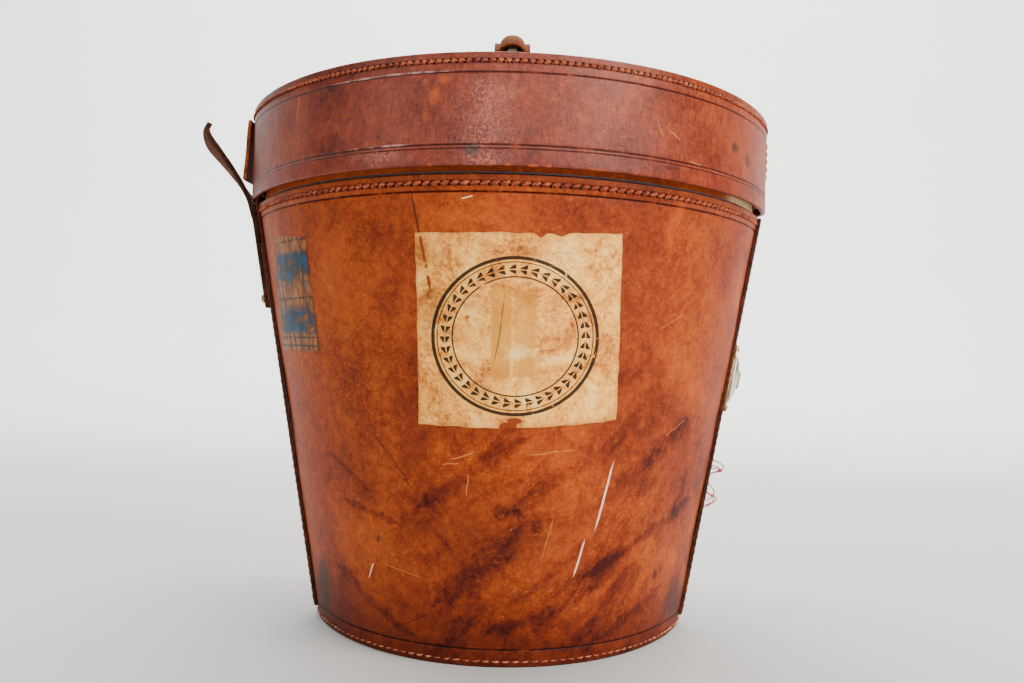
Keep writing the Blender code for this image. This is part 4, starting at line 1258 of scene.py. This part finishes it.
def loose_threads():
    """Broken ends of the red sewing thread, sticking out of the front strip below the lock."""
    pick = random.Random(4)
    for index in range(6):
        z = pick.uniform(84, 108) * MM
        reach = pick.uniform(5, 10) * MM
        side = pick.uniform(-9, -3) * MM
        start = Vector((half_at(z) + 1.4 * MM, side, z))
        points = []
        for i in range(13):
            t = i / 12
            out = reach * math.sin(math.pi * min(1.0, t * pick.uniform(0.9, 1.0))) - 1.6 * MM * t * t
            aside, up = 5 * MM * t * math.sin(index), (12 * t - 6) * MM * math.cos(index * 1.3)
            points.append(start + Vector((out, aside, up)))
        thread = curve_tube("loose_thread_{}".format(index), points, 0.36 * MM, resolution=2)
        finish_piece(thread, "case", RED_THREAD)


# ---------------------------------------------------------------- lid


def lid_lift(share, x, y, z):
    middle = np.sin(math.pi * np.clip((z - LID_LOW) / (LID_HIGH - LID_LOW), 0, 1))
    channel = -0.35 * MM * np.exp(-(((z - LID_STITCH_Z) / (1.6 * MM)) ** 2))
    return 0.3 * MM * LID_DENTS.at(x, y, z) * middle + 0.05 * MM * FINE_DENTS.at(x, y, z) + channel


def dome_z(share):
    return DOME_EDGE_Z + DOME_RISE * (1 - share * share)


def lid_outside():
    cuts = ((0.4 * MM, 0.5 * MM), (0.4 * MM, 0.5 * MM), (0.35 * MM, 0.35 * MM))
    grooves = [(z, *cut) for z, cut in zip(LID_GROOVES, cuts)]
    loop = wall_section(LID_LOW, LID_HIGH, 0.0, HIDE, grooves, rows=40, rounding=0.8 * MM)
    shares = np.linspace(0, 1, 480, endpoint=False)
    edge = {"edge_width": 0.6 * MM, "low_edge": False}
    band = sweep("lid_band_leather", shares, loop, lid_half, closed=True, lift=lid_lift, **edge)
    finish_piece(band, "lid", LID_LEATHER, ("lid_band",))
    places = round_places(lid_half, LID_STITCH_Z, 4.2 * MM, 0.0, 0.0, 1.0, lid_lift)
    stitch_row("lid_stitches", places, 4.5 * MM, "lid", 12, 2.3 * MM, 0.8 * MM, ("lid_thread",))
    lid_top()
    for side in (-1, 1):
        reach = 11 * MM / (PLAN["length"] * LID_HALF) * side
        low, high = LID_LOW + 22 * MM, LID_HIGH - 13 * MM
        row = upright_places(lid_half, low, high, 5 * MM, 0.0, lambda z, r=reach: r)
        name = "hasp_stitches_" + ("near" if side < 0 else "far")
        stitch_row(name, row, 4.4 * MM, "lid", 8, 1.2 * MM, 0.4 * MM, holes=False)


def dome_rows(rim_rows, dome_inset, drop, steps):
    """Rows of points over the lid's plan: rim rows of (inset, z), then the dome to its middle."""
    shares = np.arange(steps) / steps
    rows = [[outline(LID_HALF, s, z, inset) for s in shares] for inset, z in rim_rows]
    for size in np.linspace(1.0, 0.02, 44):
        z = dome_z(size) - drop
        row = []
        for s in shares:
            edge = outline(LID_HALF, s, 0, dome_inset)
            row.append(Vector((edge.x * size, edge.y * size, z)))
        rows.append(row)
    return rows


def lid_top():
    """Domed top with its edge turned up against the band, and a scored oval near the edge."""
    steps = 240
    thick = 2.4 * MM
    flange = HIDE + GAP + thick
    top = LID_HIGH - 0.5 * MM
    outer = flange - thick
    rim = [(outer + 0.2 * MM, top - 0.4 * MM), (outer + 0.7 * MM, top), (flange - 0.7 * MM, top)]
    rim += [(flange, top - 0.6 * MM), (flange, top - 3.5 * MM), (flange + 0.5 * MM, DOME_EDGE_Z + 0.5 * MM)]
    upper = dome_rows(rim, flange + 1.5 * MM, 0.0, steps)
    lower = dome_rows([(outer + GAP * 0.3, DOME_EDGE_Z - 1.2 * MM)], flange + 1.0 * MM, thick, steps)
    rows = lower[::-1] + upper
    points, faces = [], []
    for row in rows:
        for p in row:
            out = math.hypot(p.x / LID_HALF, p.y / LID_HALF / DEPTH_RATIO)
            groove = 0.35 * MM * math.exp(-(((out - 0.80) / 0.006) ** 2))
            dented = p.z < top - 1 * MM or abs(p.x) < 0.12
            dent = 0.35 * MM * float(LID_DENTS.at(p.x, p.y, 0.0)) if dented else 0.0
            points.append(Vector((p.x, p.y, p.z - groove + dent)))
    for i in range(len(rows) - 1):
        for j in range(steps):
            after = (j + 1) % steps
            faces.append((i * steps + j, i * steps + after, (i + 1) * steps + after, (i + 1) * steps + j))
    faces.append(tuple(range(steps - 1, -1, -1)))
    last = (len(rows) - 1) * steps
    faces.append(tuple(last + j for j in range(steps)))
    edge = [math.exp(-abs(p.z - top) / (1.2 * MM)) if math.hypot(p.x, p.y) > 0.12 else 0.0 for p in points]
    lid = mesh_object("lid_top_leather", points, faces, edge=edge)
    finish_piece(lid, "lid", LID_LEATHER, ("lid_top",))


def lid_inside():
    low, high = corner("lid_lining", False).z, corner("lid_lining").z
    loop = wall_section(low, high, HIDE + 2.1 * MM, 1.0 * MM, rows=12, rounding=0.3 * MM)

    def pleats(share, x, y, z):
        return -0.25 * MM * (1 + np.sin(share * 2 * math.pi * 120))

    shares = np.linspace(0, 1, 960, endpoint=False)
    lining = sweep("lid_lining_satin", shares, loop, lid_half, closed=True, lift=pleats)
    finish_piece(lining, "lid", SATIN, ("lid_lining",))
    refined("lid_board", BOARD, 0.0)


# ---------------------------------------------------------------- quilted pads


def buttons_on_grid(reach_x, reach_y, pitch):
    spots = []
    rows = int(reach_y / (pitch * 0.87)) + 1
    for j in range(-rows, rows + 1):
        for i in range(-8, 9):
            x, y = (i + 0.5 * (j % 2)) * pitch, j * pitch * 0.87
            if (x / reach_x) ** 2 + (y / reach_y) ** 2 < 0.72:
                spots.append((x, y))
    return spots


def quilted_pad(node, body, upwards, pitch, voxel, swell):
    """A buttoned satin pad swollen by cloth simulation; upwards says which face is seen."""
    source = frame["nodes"][node]
    low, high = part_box(node)
    mesh = source.data.copy()
    mesh.materials.clear()
    pad = placed(node + "_satin", mesh)
    remesh = pad.modifiers.new("even", "REMESH")
    remesh.mode = "VOXEL"
    remesh.voxel_size = voxel
    apply_modifiers(pad)
    rest = np.array([v.co for v in pad.data.vertices])
    spots = buttons_on_grid(high.x, high.y, pitch)
    facing = np.array([v.normal.z for v in pad.data.vertices])
    seen = facing > 0.5 if upwards else facing < -0.5
    pinned = []
    deep = np.zeros(len(rest))
    for x, y in spots:
        away = np.hypot(rest[:, 0] - x, rest[:, 1] - y)
        near = seen & (away < voxel * 1.2)
        pinned += list(np.nonzero(near)[0])
        deep = np.maximum(deep, np.where(seen, np.exp(-((away / (voxel * 1.6)) ** 2)), 0))
    sink = (-1 if upwards else 1) * 0.32 * min(10 * MM, high.z - low.z)
    rest[:, 2] += deep * sink
    pad.data.vertices.foreach_set("co", rest.astype(np.float32).ravel())
    pad.data.update()
    swell_by_cloth(pad, rest, pinned, seen, swell)
    subdivision = pad.modifiers.new("smooth", "SUBSURF")
    subdivision.levels = subdivision.render_levels = 1
    apply_modifiers(pad)
    pad.data.shade_smooth()
    finish_piece(pad, body, SATIN, (node,))
    button_heads(node, pad, spots, body, upwards)


def swell_by_cloth(pad, rest, pinned, seen, swell):
    group = pad.vertex_groups.new(name="pinned")
    hidden = [int(i) for i in np.nonzero(~seen)[0]]
    group.add([int(i) for i in pinned] + hidden, 1.0, "REPLACE")
    cloth = pad.modifiers.new("cloth", "CLOTH")
    cloth.settings.quality = 5
    cloth.settings.mass = 0.15
    cloth.settings.use_pressure = True
    cloth.settings.uniform_pressure_force = 4.0
    cloth.settings.effector_weights.gravity = 0.0
    cloth.settings.vertex_group_mass = "pinned"
    cloth.settings.shrink_min = -0.06
    cloth.collision_settings.use_collision = False
    scene = bpy.context.scene
    for number in range(1, 21):
        scene.frame_set(number)
    graph = bpy.context.evaluated_depsgraph_get()
    result = pad.evaluated_get(graph).to_mesh()
    moved = np.array([v.co for v in result.vertices])
    pad.modifiers.remove(cloth)
    scene.frame_set(1)
    step = moved - rest
    size = np.linalg.norm(step, axis=1, keepdims=True)
    step *= np.minimum(1.0, swell / np.maximum(size, 1e-9))
    pad.data.vertices.foreach_set("co", (rest + step).astype(np.float32).ravel())
    pad.data.update()


def apply_modifiers(obj):
    graph = bpy.context.evaluated_depsgraph_get()
    mesh = bpy.data.meshes.new_from_object(obj.evaluated_get(graph))
    obj.modifiers.clear()
    obj.data = mesh


def button_heads(node, pad, spots, body, upwards):
    """One mesh of small covered buttons, each sitting in its dimple."""
    sign = 1 if upwards else -1
    vertices = np.array([v.co for v in pad.data.vertices])
    shape = bmesh.new()
    for x, y in spots:
        away = np.hypot(vertices[:, 0] - x, vertices[:, 1] - y)
        close = vertices[away < 4 * MM]
        level = (close[:, 2].max() if upwards else close[:, 2].min()) if len(close) else 0.0
        made = bmesh.ops.create_uvsphere(shape, u_segments=14, v_segments=8, radius=3.0 * MM)
        for vert in made["verts"]:
            vert.co.z *= 0.45
            vert.co += Vector((x, y, level - sign * 0.3 * MM))
    mesh = bpy.data.meshes.new(node + "_buttons")
    shape.to_mesh(mesh)
    shape.free()
    mesh.shade_smooth()
    finish_piece(placed(node + "_buttons", mesh), body, SATIN)


# ---------------------------------------------------------------- hinge, strap and keeper


def sheet_from_rows(name, rows, thickness, bevel=0.5 * MM, offset=0.0):
    points = [p for row in rows for p in row]
    width = len(rows[0])
    faces = []
    for j in range(len(rows) - 1):
        for i in range(width - 1):
            a = j * width + i
            faces.append((a, a + 1, a + 1 + width, a + width))
    edge = []
    for j in range(len(rows)):
        for i in range(width):
            side = min(i, width - 1 - i) / (width - 1)
            end = min(j, len(rows) - 1 - j) / (len(rows) - 1)
            edge.append(math.exp(-min(side * 9, end * 30)))
    mesh = bpy.data.meshes.new(name)
    mesh.from_pydata([tuple(p) for p in points], [], faces)
    attribute = mesh.attributes.new("edge", "FLOAT", "POINT")
    attribute.data.foreach_set("value", edge)
    obj = placed(name, mesh)
    solidify = obj.modifiers.new("thickness", "SOLIDIFY")
    solidify.thickness = thickness
    solidify.offset = offset
    rounding = obj.modifiers.new("edges", "BEVEL")
    rounding.width = bevel
    rounding.segments = 2
    rounding.limit_method = "ANGLE"
    apply_modifiers(obj)
    obj.data.shade_smooth()
    obj.data.set_sharp_from_angle(angle=math.radians(50))
    return obj


def smooth_path(path, steps):
    """Catmull-Rom points through a path of equal-length tuples."""
    path = [np.array(p, float) for p in path]
    ends = [2 * path[0] - path[1], *path, 2 * path[-1] - path[-2]]
    found = []
    for i in range(1, len(ends) - 2):
        p0, p1, p2, p3 = ends[i - 1 : i + 3]
        for k in range(steps):
            t = k / steps
            square, cube = 2 * p0 - 5 * p1 + 4 * p2 - p3, 3 * p1 - p0 - 3 * p2 + p3
            found.append(0.5 * (2 * p1 + (p2 - p0) * t + square * t**2 + cube * t**3))
    found.append(path[-1])
    return found


def set_back(half, y):
    """How far the outline at this y lies in front of its rear point."""
    ux = on_plan(rear_share(abs(y) / half))[0]
    return float(half * (1 + ux))


def rear_strap():
    """One strap: sewn flat to the case, free above its bend, twisting and curling away from the lid."""
    over = STRIP + 2 * GAP + 1.5 * MM
    width = 12 * MM
    path = [(-(half_at(z) + over), z, 0.0, 1.0) for z in np.linspace(207 * MM, STRAP_BEND.z - 6 * MM, 6)]
    path += [
        (STRAP_BEND.x, STRAP_BEND.z, 0, 0.9),
        (-177.3 * MM, 279.5 * MM, 3, 0.5),
        (-182.3 * MM, 288.5 * MM, 8, 0.15),
        (-190.5 * MM, 299.6 * MM, 13, 0.0),
        (-199.5 * MM, 310.6 * MM, 17, 0.0),
        (-206.8 * MM, 319.5 * MM, 20, 0.0),
        (-209.2 * MM, 326.6 * MM, 20, 0.0),
        (-206.8 * MM, 332.2 * MM, 20, 0.0),
    ]
    stations = smooth_path(path, 7)
    frays = Waves(41, 9 * MM, 25 * MM, 6)
    rows = []
    for i, (x, z, twist, bow) in enumerate(stations):
        ahead, behind = stations[min(i + 1, len(stations) - 1)], stations[max(i - 1, 0)]
        along = Vector((ahead[0] - behind[0], 0, ahead[1] - behind[1])).normalized()
        sideways = Vector((0, 1, 0))
        square = along.cross(sideways)
        turn = math.radians(twist)
        direction = sideways * math.cos(turn) + square * math.sin(turn)
        trim = width * (1 + 0.02 * float(frays.at(0, 0, z)))
        row = []
        for s in np.linspace(-1, 1, 15):
            bend = bow * set_back(half_at(min(z, RIM_Z)), s * trim)
            cup = 0.9 * MM * (1 - bow) * (s * s - 0.5)
            row.append(Vector((x + bend, 0, z)) + direction * trim * float(s) - along.cross(direction) * cup)
        rows.append(row)
    strap = sheet_from_rows("rear_strap_leather", rows, 2.9 * MM, 0.7 * MM)
    strap.data.materials.append(STRAP_LEATHER)
    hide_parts("rear_strap_root", "rear_strap_tip")
    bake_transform(strap)
    refined("rear_strap_rivet", BRASS, 0.0, 60)


def hinge():
    """One bent leaf from the outside of the case, through the gap, to the inside of the lid."""
    width = 18 * MM
    leaf = 1.4 * MM
    low, high = corner("hinge_leaf_lower", False).z, corner("hinge_leaf_upper").z
    outside, inside = -(leaf / 2 + GAP), HIDE + GAP + leaf / 2
    levels = [(z, half_at(z), outside) for z in np.linspace(low, RIM_Z - 0.5 * MM, 10)]
    levels += [(LID_PIVOT.z, (RIM_HALF + LID_HALF) / 2, (outside + inside) / 2)]
    levels += [(z, LID_HALF, inside) for z in np.linspace(LID_LOW + 0.5 * MM, high, 10)]
    rows = []
    for z, half, inset in levels:
        ends = [float(rear_share(s * width / half)) for s in (-1, 1)]
        rows.append([outline(half, share, z, inset) for share in np.linspace(ends[0], ends[1], 21)])
    leafs = sheet_from_rows("hinge_leather", rows, leaf, 0.3 * MM)
    leafs.data.materials.append(HINGE_LEATHER)
    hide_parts("hinge_leaf_lower", "hinge_leaf_upper")
    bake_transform(leafs)


def strap_keeper():
    low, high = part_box("strap_keeper")
    centre = (low.x + high.x) / 2
    path = [
        (centre + 1.5 * MM, high.z),
        (centre + 0.9 * MM, high.z - 8 * MM),
        (centre + 0.3 * MM, high.z - 22 * MM),
        (centre - 1.0 * MM, low.z + 3 * MM),
        (centre - 1.3 * MM, low.z + 0.5 * MM),
    ]
    rows = []
    for x, z in smooth_path(path, 6):
        taper = 1 - 0.12 * max(0.0, (z - (high.z - 10 * MM)) / (10 * MM)) ** 2
        row = []
        for s in np.linspace(-1, 1, 15):
            bow = set_back(LID_HALF, s * 13 * MM * taper) * 0.35
            row.append(Vector((x + bow, s * 13 * MM * taper, z)))
        rows.append(row)
    keeper = sheet_from_rows("strap_keeper_leather", rows, 2.2 * MM, 0.6 * MM)
    finish_piece(keeper, "lid", KEEPER_LEATHER, ("strap_keeper",))


# ---------------------------------------------------------------- handle


def handle_arch(drop, stations, reach=1.0):
    """Places along the handle's arch, lowered by drop, with the outward direction at each."""
    wing_z = corner("handle_cover").z - 5.4 * MM
    end_z = HANDLE_PIVOT_Z + 14.2 * MM
    span = HANDLE_Y - 3 * MM
    limit = math.radians(75)
    places = []
    for i in range(stations):
        turn = limit * reach * (2 * i / (stations - 1) - 1)
        y = span * math.sin(turn) / math.sin(limit)
        rise = (math.cos(turn) - math.cos(limit)) / (1 - math.cos(limit))
        fall = -(wing_z - end_z) * math.sin(turn) / (1 - math.cos(limit))
        slope = Vector((0, span * math.cos(turn) / math.sin(limit), fall))
        outward = Vector((1, 0, 0)).cross(slope).normalized()
        place = Vector((0, y, end_z + (wing_z - end_z) * rise)) - outward * drop
        places.append((place, outward, slope.normalized()))
    return places


def handle():
    stations = handle_arch(0.0, 71)
    rows = []
    for centre, outward, _ in stations:
        row = []
        for s in np.linspace(-1, 1, 41):
            x = 11.5 * MM * s
            swell = max(0.0, 1 - (abs(x) / (6.9 * MM)) ** 2.4)
            up = 5.4 * MM * swell**0.62
            row.append(centre + Vector((x, 0, 0)) + outward * up)
        rows.append(row)
    cover = sheet_from_rows("handle_cover_leather", rows, 1.6 * MM, 0.45 * MM, offset=1.0)
    finish_piece(cover, "handle", HANDLE_LEATHER, ("handle_cover",))

    rows = []
    for centre, outward, _ in handle_arch(3.2 * MM, 61):
        rows.append([centre + Vector((11.3 * MM * s, 0, 0)) for s in np.linspace(-1, 1, 13)])
    backing = sheet_from_rows("handle_backing_leather", rows, 1.9 * MM, 0.45 * MM)
    finish_piece(backing, "handle", HANDLE_LEATHER, ("handle_backing",))
    refined("handle_core", BOARD, 0.0)

    for side in (-1, 1):
        places = []
        for centre, outward, slope in handle_arch(0.0, 25)[1:-1]:
            place = centre + Vector((9.9 * MM * side, 0, 0)) + outward * 0.1 * MM
            places.append((place, slope, Vector((1, 0, 0)), outward))
        name = "handle_stitches_" + ("rear" if side < 0 else "front")
        stitch_row(name, places, 3.6 * MM, "handle", 6, 1.0 * MM, 0.4 * MM, holes=False)

    for word, side in (("near", -1), ("far", 1)):
        y = side * HANDLE_Y
        neck = 3.25
        turns = np.radians(np.linspace(-15, -165, 15))
        dee = [(-7.9, 9), (7.9, 9), (8.2, 8.7), (8.2, 8.2)]
        dee += [(neck * math.cos(a), neck * math.sin(a)) for a in turns]
        dee += [(-8.2, 8.2), (-8.2, 8.7)]
        points = [Vector((x * MM, y, HANDLE_PIVOT_Z + up * MM)) for x, up in dee]
        ring = curve_tube("dee_ring_wire_" + word, points, 1.2 * MM, closed=True, resolution=4)
        finish_piece(ring, "handle", BRASS, ("dee_ring_" + word,))
        legs, bend = 8 * MM, 2.5 * MM
        foot = corner("staple_" + word, False).z
        middle = (-legs + bend, HANDLE_PIVOT_Z - bend)
        arc = [(-legs, foot)]
        for a in np.linspace(0, math.pi / 2, 7):
            arc.append((middle[0] - bend * math.cos(a), middle[1] + bend * math.sin(a)))
        arc += [(-a, z) for a, z in reversed(arc)]
        points = [Vector((0, y + along, z)) for along, z in arc]
        staple = curve_tube("staple_wire_" + word, points, 1.5 * MM, resolution=4)
        finish_piece(staple, "lid", BRASS, ("staple_" + word,))
        refined("staple_plate_" + word, BRASS, 0.2 * MM)
        refined("handle_loop_" + word, HANDLE_LEATHER, 0.5 * MM, 60)


# ---------------------------------------------------------------- lock


def lock():
    for node in ("lock_backplate", "lock_rivet_top", "lock_rivet_bottom", "cover_pin", "keyhole_cover"):
        refined(node, BRASS, 0.2 * MM if node != "lock_backplate" else 0.0, 50)
    refined("lock_dome", PLATED, 0.0, 60)
    refined("lock_bolt", BRASS, 0.0)
    refined("bolt_spring", STEEL, 0.0, 60)


# ---------------------------------------------------------------- stage


def stage():
    """A seamless pale sweep behind and under the box."""
    rows = []
    profile = [(-3.0, 0.0), (0.9, 0.0)]
    turns = np.linspace(0.1, math.pi / 2, 14)
    profile += [(0.9 + 1.2 * math.sin(a), 1.2 - 1.2 * math.cos(a)) for a in turns]
    profile.append((2.1, 5.0))
    for y, z in profile:
        rows.append([(-5.0, y, z), (5.0, y, z)])
    mesh = bpy.data.meshes.new("sweep")
    points = [p for row in rows for p in row]
    mesh.from_pydata(points, [], [(2 * i, 2 * i + 1, 2 * i + 3, 2 * i + 2) for i in range(len(rows) - 1)])
    mesh.shade_smooth()
    g = Graph("sweep_paint")
    tone = g.mix(g.ramp(g.parts()[1], 0.7, 1.5), (0.50, 0.49, 0.475), (0.82, 0.82, 0.81))
    g.set(Base_Color=g.mix(g.times(g.noise(6, 4), 0.12), tone, (0.4, 0.4, 0.4)), Roughness=0.8)
    mesh.materials.append(g.material)
    placed("sweep", mesh)


def area_light(name, place, target, size, power, colour=(1, 1, 1)):
    light = bpy.data.lights.new(name, "AREA")
    light.shape = "RECTANGLE"
    light.size, light.size_y = size
    light.energy = power
    light.color = colour
    obj = placed(name, light)
    obj.location = place
    obj.rotation_euler = (Vector(target) - Vector(place)).to_track_quat("-Z", "Y").to_euler()


def lights():
    area_light("key", (1.75, -1.35, 1.25), (0, 0, 0.2), (1.6, 1.6), 102, (1.0, 0.98, 0.94))
    area_light("fill", (-1.8, -1.3, 0.8), (0, 0, 0.2), (1.0, 1.4), 14)
    area_light("front", (-0.12, -2.1, 0.85), (0, 0, 0.28), (0.8, 0.3), 17)
    area_light("top", (0, 0.3, 2.3), (0, 0, 0.3), (2.0, 1.6), 24)
    area_light("back_wall", (0, 0.7, 2.6), (0, 2.1, 1.0), (4.0, 0.8), 225)
    world = bpy.data.worlds.new("studio")
    world.use_nodes = True
    tree = world.node_tree
    tree.nodes["Background"].inputs["Color"].default_value = (0.93, 0.95, 1.0, 1)
    seen = tree.nodes.new("ShaderNodeLightPath")
    strength = tree.nodes.new("ShaderNodeMapRange")
    strength.inputs["To Min"].default_value = 0.14
    strength.inputs["To Max"].default_value = 2.0
    tree.links.new(seen.outputs["Is Camera Ray"], strength.inputs["Value"])
    tree.links.new(strength.outputs["Result"], tree.nodes["Background"].inputs["Strength"])
    bpy.context.scene.world = world


def camera():
    """The photographer's viewpoint: level with the middle of the box, a little tilted up and rolled."""
    data = bpy.data.cameras.new("camera")
    data.sensor_width = 36.0
    data.lens = 35.98
    obj = placed("camera", data)
    obj.location = (4.7 * MM, -701.2 * MM, 180.4 * MM)
    pitch, roll = 0.0111, 0.0264
    aim = Vector((0, math.cos(pitch), math.sin(pitch)))
    obj.rotation_euler = (aim.to_track_quat("-Z", "Y") @ Quaternion((0, 0, 1), roll)).to_euler()
    bpy.context.scene.camera = obj


side_panels()
case_stitches()
seam_strips()
collar_and_cord()
case_inside()
labels()
loose_threads()
lid_outside()
lid_inside()
quilted_pad("crown_pad", "case", True, 34 * MM, 3.6 * MM, 3.0 * MM)
quilted_pad("lid_pad", "lid", False, 40 * MM, 3.6 * MM, 2.5 * MM)
hinge()
rear_strap()
strap_keeper()
handle()
lock()
stage()
lights()
camera()
